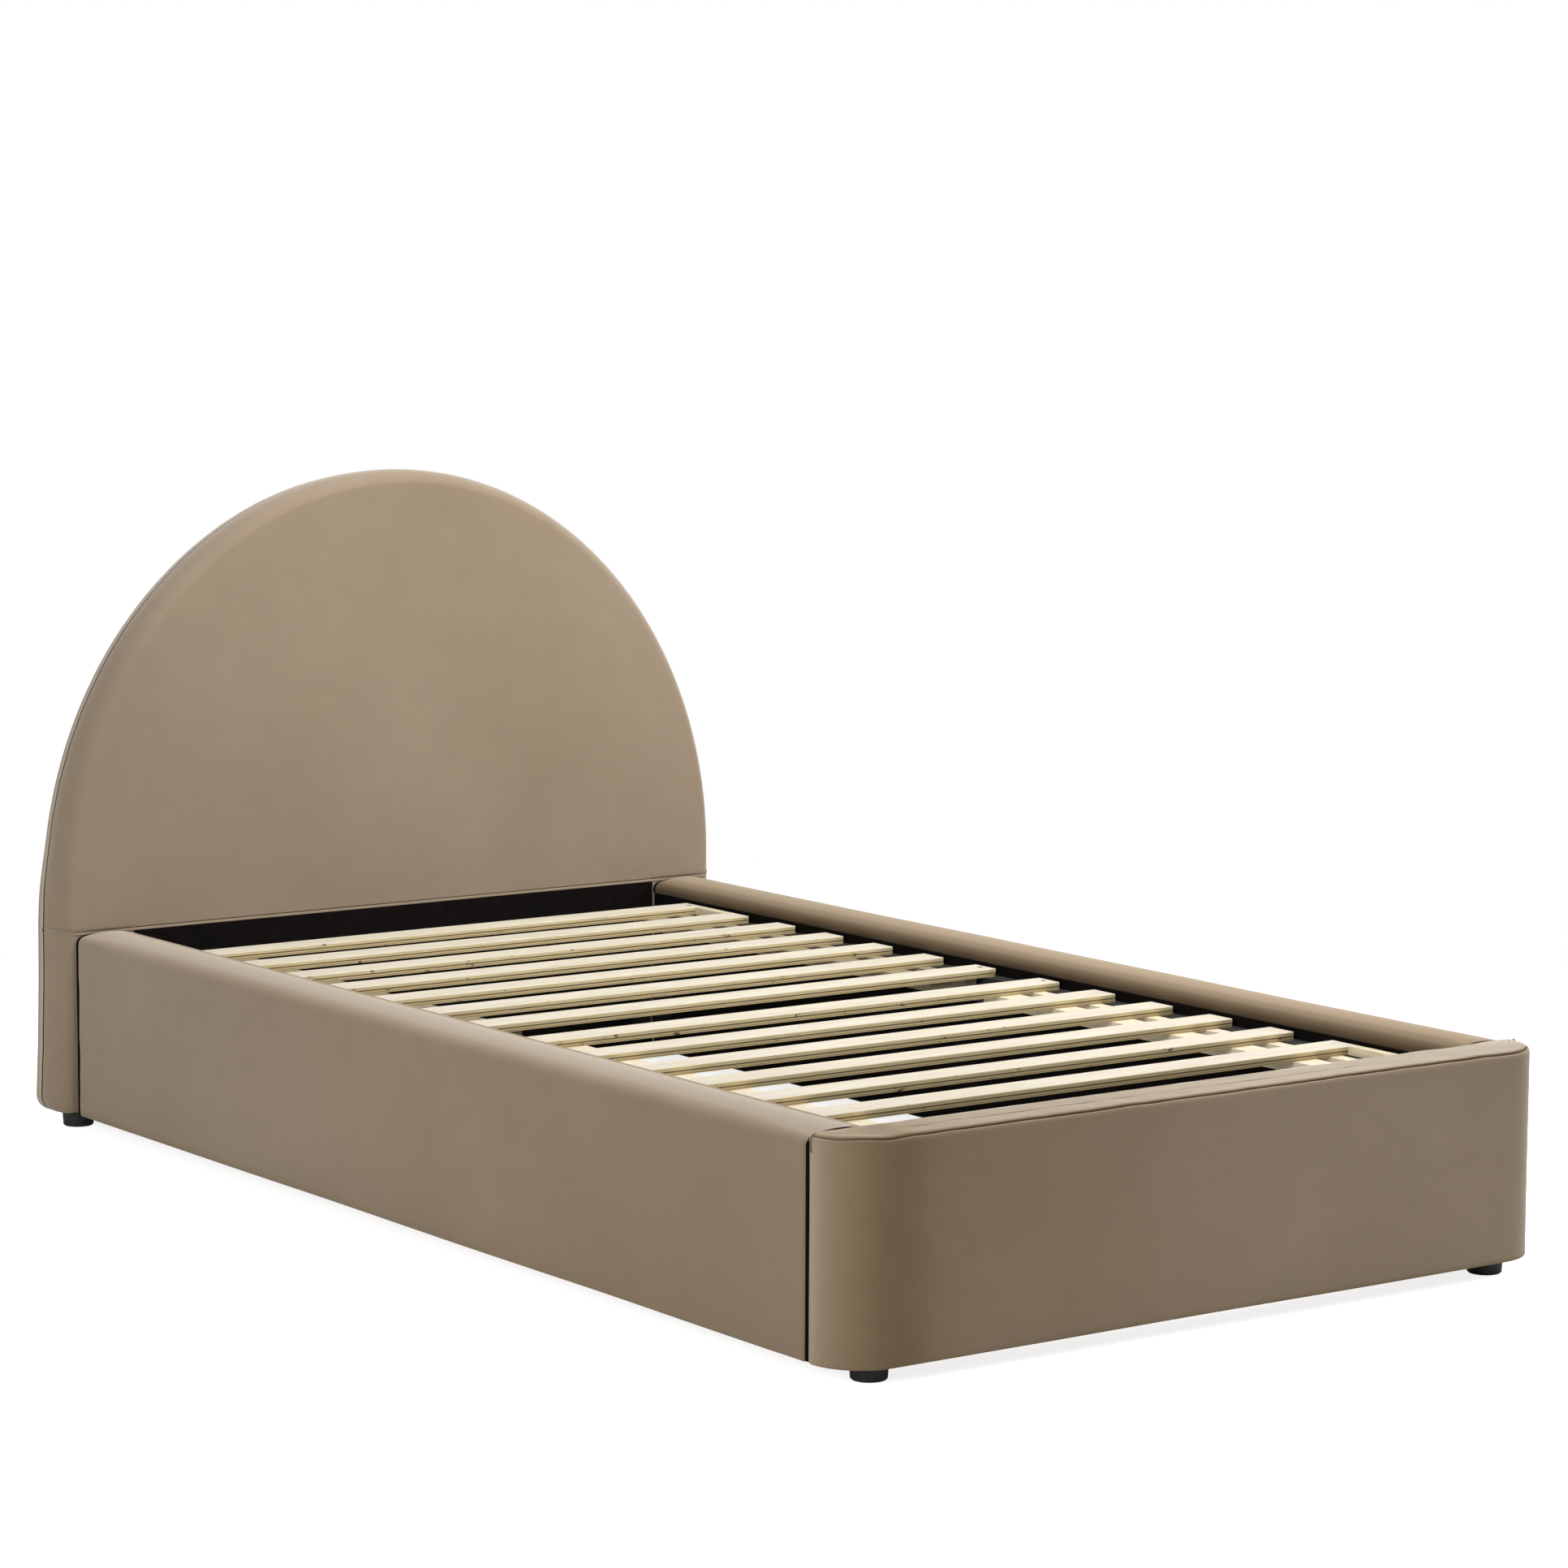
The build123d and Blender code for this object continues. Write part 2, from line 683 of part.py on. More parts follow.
def make_foot(place, name):
    """One turned plastic foot with a recess for its screw."""
    with BuildPart() as foot:
        with BuildSketch(Plane(origin=(*place, 0))):
            Circle(foot_tip_radius)
        with BuildSketch(Plane(origin=(*place, foot_height))):
            Circle(foot_radius)
        loft(ruled=True)
        chamfer(foot.edges().filter_by(GeomType.CIRCLE).sort_by(Axis.Z)[0], length=foot_edge_chamfer)
        with BuildSketch(Plane(origin=(*place, 0))):
            Circle(foot_recess_radius)
        extrude(amount=foot_recess_depth, mode=Mode.SUBTRACT)
        drill([Plane(origin=(*place, 0))], foot_hole_radius, foot_height + cutting_overrun)
    save(foot.part, name)


for places, end_name in ((head_foot_places, "head"), (foot_foot_places, "foot")):
    for place, side_name in zip(places, ("left", "right")):
        make_foot(place, f"{end_name}_{side_name}_foot")

with BuildPart() as foot_screws:
    for plane in head_foot_planes + foot_foot_planes:
        with BuildSketch(plane):
            Circle(foot_screw_radius)
        extrude(amount=foot_screw_length)
        with BuildSketch(plane):
            Circle(foot_screw_head_radius)
        extrude(amount=-foot_screw_head_height)
save(foot_screws.part, "foot_screws")


# Slat panels

def make_slat(number, centre_y, screwed):
    """One plywood slat; the end slats of a panel have countersunk screw holes."""
    with BuildPart() as slat:
        with BuildSketch(Plane.YZ.offset(-slat_length / 2)):
            with Locations((centre_y, (slat_top_z + slat_under_z) / 2)):
                Rectangle(slat_width, slat_thickness)
        extrude(amount=slat_length)
        fillet(slat.edges().filter_by(Axis.X).group_by(Axis.Z)[-1], radius=slat_edge_radius)
        if screwed:
            for side in (LEFT, RIGHT):
                x = side * (slat_length / 2 - deck_screw_end_inset)
                with Locations((x, centre_y, slat_top_z)):
                    CounterSinkHole(
                        deck_screw_radius + screw_room,
                        deck_screw_head_radius + screw_room,
                        depth=slat_thickness + cutting_overrun,
                        counter_sink_angle=countersink_angle,
                    )
    save(slat.part, f"slat_{number:02d}")


def make_panel(panel, first_number, strip_gap):
    """Seven slats on four battens, with end strips between two of the slats."""
    centres = panel_slats[panel]
    for count, centre_y in enumerate(centres):
        make_slat(first_number + count, centre_y, count in (0, slats_per_panel - 1))

    batten_y = (centres[0] + batten_overhang, centres[-1] - batten_overhang)
    outer_x = inner_half - ledger_width - batten_ledger_gap
    inner_x = outer_x - outer_batten_width - batten_spacing
    with BuildPart() as battens:
        for side in (LEFT, RIGHT):
            board(
                (side * outer_x, side * (outer_x - outer_batten_width)),
                batten_y,
                (slat_under_z - outer_batten_height, slat_under_z),
            )
            board(
                (side * inner_x, side * (inner_x - inner_batten_width)),
                batten_y,
                (slat_under_z - inner_batten_height, slat_under_z),
            )
    save(battens.part, f"{panel}_panel_battens")

    strip_y = (centres[strip_gap] - slat_width / 2, centres[strip_gap + 1] + slat_width / 2)
    with BuildPart() as strips:
        for side in (LEFT, RIGHT):
            slat_end = side * slat_length / 2
            board((slat_end, slat_end - side * end_strip_width), strip_y, (slat_under_z, slat_top_z))
    save(strips.part, f"{panel}_panel_end_strips")

    head_height = deck_screw_head_radius - deck_screw_radius
    with BuildPart() as screws:
        for side in (LEFT, RIGHT):
            for plane in deck_screw_planes(side, [panel]):
                with Locations(plane):
                    Cone(deck_screw_head_radius, deck_screw_radius, head_height, align=from_bottom)
                with BuildSketch(plane):
                    Circle(deck_screw_radius)
                extrude(amount=deck_screw_length)
    save(screws.part, f"{panel}_panel_screws")


make_panel("head", 1, 0)
make_panel("foot", slats_per_panel + 1, slats_per_panel - 2)
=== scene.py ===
import json
import math

import bmesh
import bpy
from mathutils import Euler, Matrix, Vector, noise


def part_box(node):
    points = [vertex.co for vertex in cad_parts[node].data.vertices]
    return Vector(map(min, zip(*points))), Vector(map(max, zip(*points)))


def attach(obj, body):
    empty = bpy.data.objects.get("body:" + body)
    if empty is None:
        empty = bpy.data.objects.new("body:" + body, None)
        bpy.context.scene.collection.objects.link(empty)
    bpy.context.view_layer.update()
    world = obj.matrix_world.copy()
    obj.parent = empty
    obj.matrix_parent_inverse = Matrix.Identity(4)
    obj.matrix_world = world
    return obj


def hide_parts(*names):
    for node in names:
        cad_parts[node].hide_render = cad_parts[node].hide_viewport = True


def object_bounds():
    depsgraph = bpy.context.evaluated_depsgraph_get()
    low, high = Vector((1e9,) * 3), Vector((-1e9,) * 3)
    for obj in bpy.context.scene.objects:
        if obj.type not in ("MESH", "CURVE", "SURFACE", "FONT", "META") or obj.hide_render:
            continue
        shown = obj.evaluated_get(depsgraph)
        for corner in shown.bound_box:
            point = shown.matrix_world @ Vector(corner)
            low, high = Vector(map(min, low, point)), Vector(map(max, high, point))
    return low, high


# An upholstered single bed in taupe velvet. Metres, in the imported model's own frame.

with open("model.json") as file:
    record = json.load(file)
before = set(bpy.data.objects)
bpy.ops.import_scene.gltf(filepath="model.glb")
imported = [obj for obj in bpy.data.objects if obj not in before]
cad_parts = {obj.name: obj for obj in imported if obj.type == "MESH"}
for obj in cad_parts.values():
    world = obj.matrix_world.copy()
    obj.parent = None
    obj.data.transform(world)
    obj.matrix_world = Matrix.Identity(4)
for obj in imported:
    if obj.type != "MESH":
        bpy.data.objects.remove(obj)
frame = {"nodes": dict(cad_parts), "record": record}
cad_box = [list(corner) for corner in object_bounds()]

LEFT, RIGHT = -1, 1
MM = 0.001


def limits(node):
    """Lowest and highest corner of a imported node."""
    low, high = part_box(node)
    return Vector(low), Vector(high)


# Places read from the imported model
rail_low, rail_high = limits("right_rail_cover")
headboard_high = limits("headboard_back_cover")[1]
slat_low, slat_high = limits("slat_01")

underside = rail_low.z
rail_top = rail_high.z
inner_half = rail_low.x
rail_outer = rail_high.x
rail_width = rail_outer - inner_half
head_face = rail_high.y
foot_face = rail_low.y
foot_front = cad_box[0][1]
headboard_back = headboard_high.y
headboard_half = headboard_high.x
headboard_top = headboard_high.z
front_cover_back = limits("headboard_front_cover")[1].y
fabric_edge = limits("right_rail_lining")[1].z
foot_lining_bottom = limits("footboard_lining")[0].z

# Seams and hems
seam_depth = 2.8 * MM
seam_width = 2.6 * MM
seam_tuck = 4 * MM
seam_gap = 0.25 * MM
seam_loops = (0.5 * MM, 1.1 * MM, 1.8 * MM, 2.6 * MM, 4.5 * MM, 8 * MM)
hem_radius = 2.5 * MM
lining_step = 2.6 * MM
lining_edge_room = 1 * MM
corner_loop = 1 * MM
smallest_radius = 1 * MM

# Shape of the headboard
gusset_shift = 10 * MM
gusset_seam = front_cover_back - gusset_shift
arch_spring_rise = 40 * MM
arch_spring = rail_top + arch_spring_rise
arch_lift = 9 * MM
arch_spread = 2 * MM
headboard_flare = 9 * MM
headboard_roll_depth = 50 * MM
headboard_roll_inset = 26 * MM
back_taper = 9 * MM
back_taper_start = 20 * MM
back_taper_rise = 150 * MM
headboard_bottom_radius = 8 * MM
headboard_corner_radius = 28 * MM
headboard_back_radius = 5 * MM
headboard_sink = 0.4 * MM
headboard_seam_margin = 12 * MM
flat_seam_share = 0.5
gusset_gather_reach = 14 * MM
lining_overlap = 0.5 * MM

# Shape of the side rails
rail_crown = 8 * MM
rail_inner_shoulder = 14 * MM
rail_end_shoulder = 13 * MM
rail_soft_shoulder = 26 * MM
rail_soft_run = 160 * MM
rail_bottom_radius = 5 * MM
rail_sink = 0.5 * MM
rail_hem_rise = 1.6 * MM
rail_hem_top = 3 * MM
rail_gather_reach = 60 * MM
rail_end_gap = 4.2 * MM
rail_foot_gap = 2.8 * MM
rail_top_gap = 0.2 * MM
rail_end_turn = 6 * MM
end_shadow_inset = 1.6 * MM
rail_push_run = 24 * MM
crown_start = 18 * MM
crown_run = 9 * MM

# Shape of the footboard
footboard_corner_radius = 74 * MM
footboard_end_radius = 10 * MM
footboard_bottom_radius = 4 * MM
footboard_top_radius = 11 * MM
footboard_sink = 0.5 * MM
footboard_back_reach = 3 * MM
footboard_bottom_insets = (38 * MM, 24 * MM, 14 * MM)
footboard_top_insets = (14 * MM, 18 * MM, 23 * MM, 29 * MM, 35 * MM, 40 * MM)
band_seam_drop = 2.5 * MM
band_seam = rail_top - band_seam_drop
band_seam_loops = (-4 * MM, -2 * MM, -1 * MM, 1 * MM)
band_gather_reach = 16 * MM
band_pull_reach = 7 * MM
band_corner_reach = 90 * MM
band_corner_pull_share = 4
strip_seam = foot_face - footboard_end_radius
strip_seam_reach = 30 * MM

# Waves of the cloth: their length along each axis, their height and a seed
calm = 1000 * MM
gusset_gather = ((35 * MM, calm, 35 * MM), 0.9 * MM, 3.0)
headboard_swell = ((350 * MM, calm, 350 * MM), 0.6 * MM, 7.0)
rail_gather = ((30 * MM, 50 * MM, 35 * MM), 0.9 * MM, 5.0)
rail_swell = ((300 * MM, 350 * MM, 250 * MM), 0.8 * MM, 11.0)
band_gather = ((30 * MM, 30 * MM, 60 * MM), 0.9 * MM, 4.0)
band_pull = ((45 * MM, 45 * MM, calm), 0.8 * MM, 6.0)
band_wander = ((60 * MM, calm, calm), 0.8 * MM, 2.0)
footboard_swell = ((300 * MM, 300 * MM, 250 * MM), 0.8 * MM, 9.0)

# Painted shade and painted highlights on the pile, and how far each one reaches
corner_shade_share = 0.26
corner_shade_place = 75 * MM
corner_shade_width = 60 * MM
front_shade_share = 0.14
rail_foot_shade_share = 0.16
far_rail_shade_share = 0.3
inner_face_shade_share = 0.8
inner_face_falloff = 0.22
band_shade_share = 0.8
floor_shade_share = 0.35
floor_shade_rise = 8 * MM
gusset_line = 2.4 * MM
gusset_shade = 1.9
gusset_highlight_share = 0.55
end_highlight_share = 0.85
end_highlight_reach = 20 * MM


def arc(centre, radius, start, end, steps):
    """Points along a circular arc, angles in degrees."""
    angles = [math.radians(start + (end - start) * k / steps) for k in range(steps + 1)]
    return [(centre[0] + radius * math.cos(a), centre[1] + radius * math.sin(a)) for a in angles]


def run(start, end, steps):
    """Points along a straight run, without its first point."""
    shares = [k / steps for k in range(1, steps + 1)]
    return [(start[0] + (end[0] - start[0]) * s, start[1] + (end[1] - start[1]) * s) for s in shares]


def finish_mesh(shape, name):
    """Turn a bmesh into a smooth object."""
    bmesh.ops.recalc_face_normals(shape, faces=shape.faces)
    for face in shape.faces:
        face.smooth = True
    mesh = bpy.data.meshes.new(name)
    shape.to_mesh(mesh)
    shape.free()
    piece = bpy.data.objects.new(name, mesh)
    bpy.context.collection.objects.link(piece)
    return piece


def skin(rings, cap_first=False, cap_last=False):
    """Join closed rings of points, all of one length, into a bmesh."""
    shape = bmesh.new()
    grid = [[shape.verts.new(point) for point in ring] for ring in rings]
    count = len(rings[0])
    for lower, upper in zip(grid, grid[1:]):
        for k in range(count):
            following = (k + 1) % count
            shape.faces.new((lower[k], lower[following], upper[following], upper[k]))
    if cap_first:
        shape.faces.new(list(reversed(grid[0])))
    if cap_last:
        shape.faces.new(grid[-1])
    bmesh.ops.recalc_face_normals(shape, faces=shape.faces)
    return shape


def slice_at(shape, place, normal, keep=None):
    """Cut new edges along a plane; keep says which side stays, in front or behind."""
    bmesh.ops.bisect_plane(
        shape,
        geom=shape.verts[:] + shape.edges[:] + shape.faces[:],
        plane_co=place,
        plane_no=normal,
        clear_inner=keep == "front",
        clear_outer=keep == "behind",
    )


def slice_seam(shape, place, normal):
    """Add fine loops beside a seam, so that its groove has a shape."""
    before = [-offset for offset in reversed(seam_loops)]
    for offset in (*before, 0, *seam_loops):
        slice_at(shape, Vector(place) + Vector(normal) * offset, normal)


def reshape(shape, move):
    """Move every vertex of a bmesh by a function of its place and normal."""
    shape.normal_update()
    changes = [(vertex, move(vertex.co.copy(), vertex.normal.copy())) for vertex in shape.verts]
    for vertex, change in changes:
        vertex.co += change


def wave_height(place, wave, side=1):
    """Height of one of the cloth's waves at a place; side tells the two rails apart."""
    lengths, height, seed = wave
    point = Vector([along / length for along, length in zip(place, lengths)])
    return noise.noise(point + Vector((seed, seed, seed)) * side) * height


def groove(distance):
    """Share of a sewn seam's depth at a distance from it."""
    return max(0, 1 - abs(distance) / seam_width) ** 2


def smooth_step(value):
    """Ease from 0 to 1."""
    value = min(1, max(0, value))
    return value * value * (3 - 2 * value)


def near_floor(place):
    """Share of shade on the rounding next to the underside."""
    return floor_shade_share * max(0, 1 - (place.z - underside) / floor_shade_rise)


def mark_shades(shape, shade_at, highlight_at=None):
    """Note on every vertex its share of painted shade and its share of painted highlight."""
    painted_shade = shape.verts.layers.float.new("painted_shade")
    nap_and_highlight = shape.verts.layers.float.new("nap_and_highlight")
    for vertex in shape.verts:
        vertex[painted_shade] = max(shade_at(vertex.co), near_floor(vertex.co))
        vertex[nap_and_highlight] = highlight_at(vertex.co) if highlight_at else 0


def turn_in(shape):
    """Fold every open edge of the cloth inwards, as it is at a sewn seam, and leave a fine gap."""
    shape.normal_update()
    edges = [edge for edge in shape.edges if edge.is_boundary]
    rim = {vertex for edge in edges for vertex in edge.verts}
    drawn_back = []
    for vertex in rim:
        centres = [face.calc_center_median() for face in vertex.link_faces]
        middle = sum(centres, Vector()) / len(centres)
        drawn_back.append((vertex, vertex.co + (middle - vertex.co).normalized() * seam_gap))
    inward = {}
    for vertex, place in drawn_back:
        vertex.co = place
        inward[vertex.co.to_tuple(7)] = vertex.normal * -seam_tuck
    folded = bmesh.ops.extrude_edge_only(shape, edges=edges)["geom"]
    for vertex in folded:
        if isinstance(vertex, bmesh.types.BMVert):
            vertex.co += inward[vertex.co.to_tuple(7)]


def dress(piece, material, *nodes, body="frame", slot="velvet", fill=0.9):
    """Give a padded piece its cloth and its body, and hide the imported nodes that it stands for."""
    piece.data.materials.clear()
    piece.data.materials.append(material)
    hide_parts(*nodes)
    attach(piece, body)


# Materials

def new_material(name):
    """An empty node material with its Principled shader."""
    material = bpy.data.materials.new(name)
    material.use_nodes = True
    tree = material.node_tree
    shader = tree.nodes["Principled BSDF"]
    return material, tree, shader


def coordinates(tree, scale=(1, 1, 1)):
    """Object coordinates in metres, stretched by scale."""
    source = tree.nodes.new("ShaderNodeTexCoord")
    mapping = tree.nodes.new("ShaderNodeMapping")
    mapping.inputs["Scale"].default_value = scale
    tree.links.new(source.outputs["Object"], mapping.inputs["Vector"])
    return mapping.outputs["Vector"]


def noise_node(tree, vector, scale, detail=2, roughness=0.5):
    """A noise texture; its first output is the value."""
    node = tree.nodes.new("ShaderNodeTexNoise")
    node.inputs["Scale"].default_value = scale
    node.inputs["Detail"].default_value = detail
    node.inputs["Roughness"].default_value = roughness
    tree.links.new(vector, node.inputs["Vector"])
    return node.outputs["Fac"]


def ramp(tree, value, stops):
    """A colour ramp with (place, colour) stops."""
    node = tree.nodes.new("ShaderNodeValToRGB")
    elements = node.color_ramp.elements
    while len(elements) < len(stops):
        elements.new(0.5)
    for element, (place, colour) in zip(elements, stops):
        element.position = place
        element.color = (*colour, 1)
    tree.links.new(value, node.inputs["Fac"])
    return node.outputs["Color"]


def blend_colours(tree, first, second, factor, mode="MIX"):
    """Mix two colours by a factor, a number or an output."""
    node = tree.nodes.new("ShaderNodeMix")
    node.data_type = "RGBA"
    node.blend_type = mode
    for name, value in (("Factor", factor), ("A", first), ("B", second)):
        socket = [s for s in node.inputs if s.name == name and s.enabled][0]
        if isinstance(value, bpy.types.NodeSocket):
            tree.links.new(value, socket)
        elif name == "Factor":
            socket.default_value = value
        else:
            socket.default_value = (*value, 1)
    return [s for s in node.outputs if s.enabled][0]


def bump(tree, height, distance, strength=1.0, after=None):
    """A bump node with a height in metres times distance."""
    node = tree.nodes.new("ShaderNodeBump")
    node.inputs["Distance"].default_value = distance
    node.inputs["Strength"].default_value = strength
    tree.links.new(height, node.inputs["Height"])
    if after is not None:
        tree.links.new(after, node.inputs["Normal"])
    return node.outputs["Normal"]


def grey(value):
    """A colour without hue."""
    return value, value, value


def soft_step(dark, light):
    """Stops of a ramp with plain ends and a soft change between them."""
    return (0.3, dark), (0.7, light)


painted_highlight_colour = (0.58, 0.505, 0.42)
half_shaded = (0.78, 0.71, 0.585)
fully_shaded = (0.1, 0.08, 0.055)
sheen_tint = (1.0, 0.96, 0.9, 1)
painted_sheen_shares = ((0.0, 0.0), (0.3, 0.03), (0.5, 0.09), (0.75, 0.3), (1.0, 0.75))
nap_scale = 3.2
nap_stretch = (1, 1, 0.8)
brush_scale = 26
brush_stretch = (0.7, 0.7, 1)
fibre_scale = 1400
wave_scale = 14
velvet_wave = 1.0 * MM
velvet_pile = 0.25 * MM


def velvet(name, base, worn):
    """Short-pile velvet: soft nap patches, a fine pile, a sheen from the shader, and painted sheen, painted
    shade and painted highlights in its colour.
    """
    material, tree, shader = new_material(name)
    place = coordinates(tree)
    nap_and_highlight = noise_node(tree, coordinates(tree, nap_stretch), nap_scale, detail=4, roughness=0.5)
    brushed = noise_node(tree, coordinates(tree, brush_stretch), brush_scale, detail=4, roughness=0.6)
    fibres = noise_node(tree, place, fibre_scale, detail=2, roughness=0.7)
    soft = ramp(tree, nap_and_highlight, [(0.35, base), (0.65, worn)])
    streaks = ramp(tree, brushed, soft_step(grey(0.97), grey(1.025)))
    pile = ramp(tree, fibres, soft_step(grey(0.82), grey(1.14)))
    colour = blend_colours(tree, soft, streaks, 1.0, "MULTIPLY")
    colour = blend_colours(tree, colour, pile, 0.6, "MULTIPLY")

    # Painted sheen: the colour turns paler where the surface is seen from the side
    edge_on = tree.nodes.new("ShaderNodeLayerWeight")
    edge_on.inputs["Blend"].default_value = 0.5
    rim = ramp(tree, edge_on.outputs["Facing"], [(share, grey(amount)) for share, amount in painted_sheen_shares])
    colour = blend_colours(tree, colour, painted_highlight_colour, rim)
    # Painted highlight, as much as the vertices ask for
    highlight_share = tree.nodes.new("ShaderNodeAttribute")
    highlight_share.attribute_name = "nap_and_highlight"
    colour = blend_colours(tree, colour, painted_highlight_colour, highlight_share.outputs["Fac"])

    # Painted shade from the vertices: seams, folds, the rails' turned-in faces, the rounding near the floor
    # and parts of the footboard come out darker
    painted_shade = tree.nodes.new("ShaderNodeAttribute")
    painted_shade.attribute_name = "painted_shade"
    shade = ramp(tree, painted_shade.outputs["Fac"], [(0, grey(1)), (0.3, half_shaded), (1, fully_shaded)])
    colour = blend_colours(tree, colour, shade, 1.0, "MULTIPLY")
    tree.links.new(colour, shader.inputs["Base Color"])
    shader.inputs["Roughness"].default_value = 0.92
    shader.inputs["Specular IOR Level"].default_value = 0.15
    shader.inputs["Sheen Weight"].default_value = 0.25
    shader.inputs["Sheen Roughness"].default_value = 0.3
    shader.inputs["Sheen Tint"].default_value = sheen_tint
    low = bump(tree, noise_node(tree, place, wave_scale, detail=2), velvet_wave, 0.3)
    fine = bump(tree, fibres, velvet_pile, 0.5, after=low)
    tree.links.new(fine, shader.inputs["Normal"])
    return material


lining_dark = (0.0045, 0.0036, 0.003)
lining_light = (0.0065, 0.0052, 0.0045)
mottle_scale = 60
dots_scale = 480
wrinkle_scale = 9
lining_dots = 0.3 * MM
lining_wrinkles = 2 * MM


def lining_cloth():
    """Black non-woven lining with small pressed dots."""
    material, tree, shader = new_material("lining_cloth")
    place = coordinates(tree)
    mottle = noise_node(tree, place, mottle_scale, detail=3)
    colour = ramp(tree, mottle, soft_step(lining_dark, lining_light))
    tree.links.new(colour, shader.inputs["Base Color"])
    shader.inputs["Roughness"].default_value = 0.9
    shader.inputs["Specular IOR Level"].default_value = 0.06
    dots = tree.nodes.new("ShaderNodeTexVoronoi")
    dots.inputs["Scale"].default_value = dots_scale
    tree.links.new(place, dots.inputs["Vector"])
    pressed = bump(tree, dots.outputs["Distance"], lining_dots, 0.4)
    wrinkles = noise_node(tree, place, wrinkle_scale, detail=3)
    wrinkled = bump(tree, wrinkles, lining_wrinkles, 0.5, after=pressed)
    tree.links.new(wrinkled, shader.inputs["Normal"])
    return material


wood_grain = 0.3 * MM
face_scale = 26
face_stretch = (1, 14, 14)
figure_scale = 9
figure_stretch = (0.7, 6, 6)
figure_shares = ((0.35, (0.93, 0.91, 0.87)), (0.65, (1.02, 1.01, 1.0)))
streak_scale = 30
streak_stretch = (1, 1, 60)
streak_shares = ((0.3, (0.78, 0.76, 0.7)), (0.6, (1.06, 1.05, 1.02)))
knot_scale = 34
knot_stretch = (1, 1, 3.2)
knot_shares = ((0.66, grey(1)), (0.71, (0.22, 0.17, 0.11)))
flat_face_shares = ((0.6, grey(0)), (0.8, grey(1)))
face_shares = [(0.3, (0.6, 0.545, 0.435)), (0.5, (0.66, 0.61, 0.51)), (0.72, (0.7, 0.655, 0.56))]
ply_tan = (0.54, 0.43, 0.235)
ply_olive = (0.64, 0.54, 0.32)
ply_pale = (0.73, 0.66, 0.47)
ply_glue = (0.12, 0.085, 0.045)
ply_shares = [
    (0.0, ply_tan), (0.1, ply_tan), (0.14, ply_glue), (0.2, ply_tan), (0.37, ply_tan), (0.42, ply_glue),
    (0.52, ply_glue), (0.57, ply_olive), (0.7, ply_olive), (0.75, ply_tan), (0.8, ply_olive),
    (0.92, ply_pale),
]


def plywood():
    """Birch plywood: pale face veneer with grain across the bed, thin dark glue lines on the edges."""
    material, tree, shader = new_material("birch_plywood")
    grain = noise_node(tree, coordinates(tree, face_stretch), face_scale, detail=5, roughness=0.6)
    figure = noise_node(tree, coordinates(tree, figure_stretch), figure_scale, detail=3)
    face = ramp(tree, grain, face_shares)
    tint = ramp(tree, figure, figure_shares)
    face = blend_colours(tree, face, tint, 1.0, "MULTIPLY")

    # The plies show on the edges as bands of height
    source = tree.nodes.new("ShaderNodeTexCoord")
    split = tree.nodes.new("ShaderNodeSeparateXYZ")
    tree.links.new(source.outputs["Object"], split.inputs["Vector"])
    rise = tree.nodes.new("ShaderNodeMapRange")
    rise.inputs["From Min"].default_value = slat_low.z
    rise.inputs["From Max"].default_value = slat_high.z
    tree.links.new(split.outputs["Z"], rise.inputs["Value"])
    layers = ramp(tree, rise.outputs["Result"], ply_shares)
    streak = noise_node(tree, coordinates(tree, streak_stretch), streak_scale, detail=4, roughness=0.65)
    streaks = ramp(tree, streak, streak_shares)
    layers = blend_colours(tree, layers, streaks, 1.0, "MULTIPLY")
    specks = noise_node(tree, coordinates(tree, knot_stretch), knot_scale, detail=3, roughness=0.6)
    knots = ramp(tree, specks, knot_shares)
    layers = blend_colours(tree, layers, knots, 1.0, "MULTIPLY")

    normal = tree.nodes.new("ShaderNodeSeparateXYZ")
    tree.links.new(source.outputs["Normal"], normal.inputs["Vector"])
    flat = tree.nodes.new("ShaderNodeMath")
    flat.operation = "ABSOLUTE"
    tree.links.new(normal.outputs["Z"], flat.inputs[0])
    flat_face = ramp(tree, flat.outputs["Value"], flat_face_shares)
    colour = blend_colours(tree, layers, face, flat_face)
    tree.links.new(colour, shader.inputs["Base Color"])
    shader.inputs["Roughness"].default_value = 0.62
    shader.inputs["Specular IOR Level"].default_value = 0.3
    tree.links.new(bump(tree, grain, wood_grain, 0.4), shader.inputs["Normal"])
    return material


timber_scale = 20


def timber(name, dark, light, along, rough=0.6):
    """Planed timber with straight grain; along stretches it in its own direction."""
    material, tree, shader = new_material(name)
    grain = noise_node(tree, coordinates(tree, along), timber_scale, detail=5, roughness=0.6)
    tree.links.new(ramp(tree, grain, soft_step(dark, light)), shader.inputs["Base Color"])
    shader.inputs["Roughness"].default_value = rough
    shader.inputs["Specular IOR Level"].default_value = 0.3
    tree.links.new(bump(tree, grain, wood_grain, 0.4), shader.inputs["Normal"])
    return material


plastic_dark = (0.008, 0.008, 0.009)
plastic_light = (0.016, 0.016, 0.017)
plastic_scale = 900
plastic_grain = 0.1 * MM
rolling_scale = 120
rolling_stretch = (1, 1, 12)
rolling_marks = 0.05 * MM


def moulded_plastic():
    """Matt black moulded plastic with a fine grain."""
    material, tree, shader = new_material("foot_plastic")
    grain = noise_node(tree, coordinates(tree), plastic_scale, detail=2)
    shade = ramp(tree, grain, soft_step(plastic_dark, plastic_light))
    tree.links.new(shade, shader.inputs["Base Color"])
    shader.inputs["Roughness"].default_value = 0.5
    tree.links.new(bump(tree, grain, plastic_grain, 0.3), shader.inputs["Normal"])
    return material


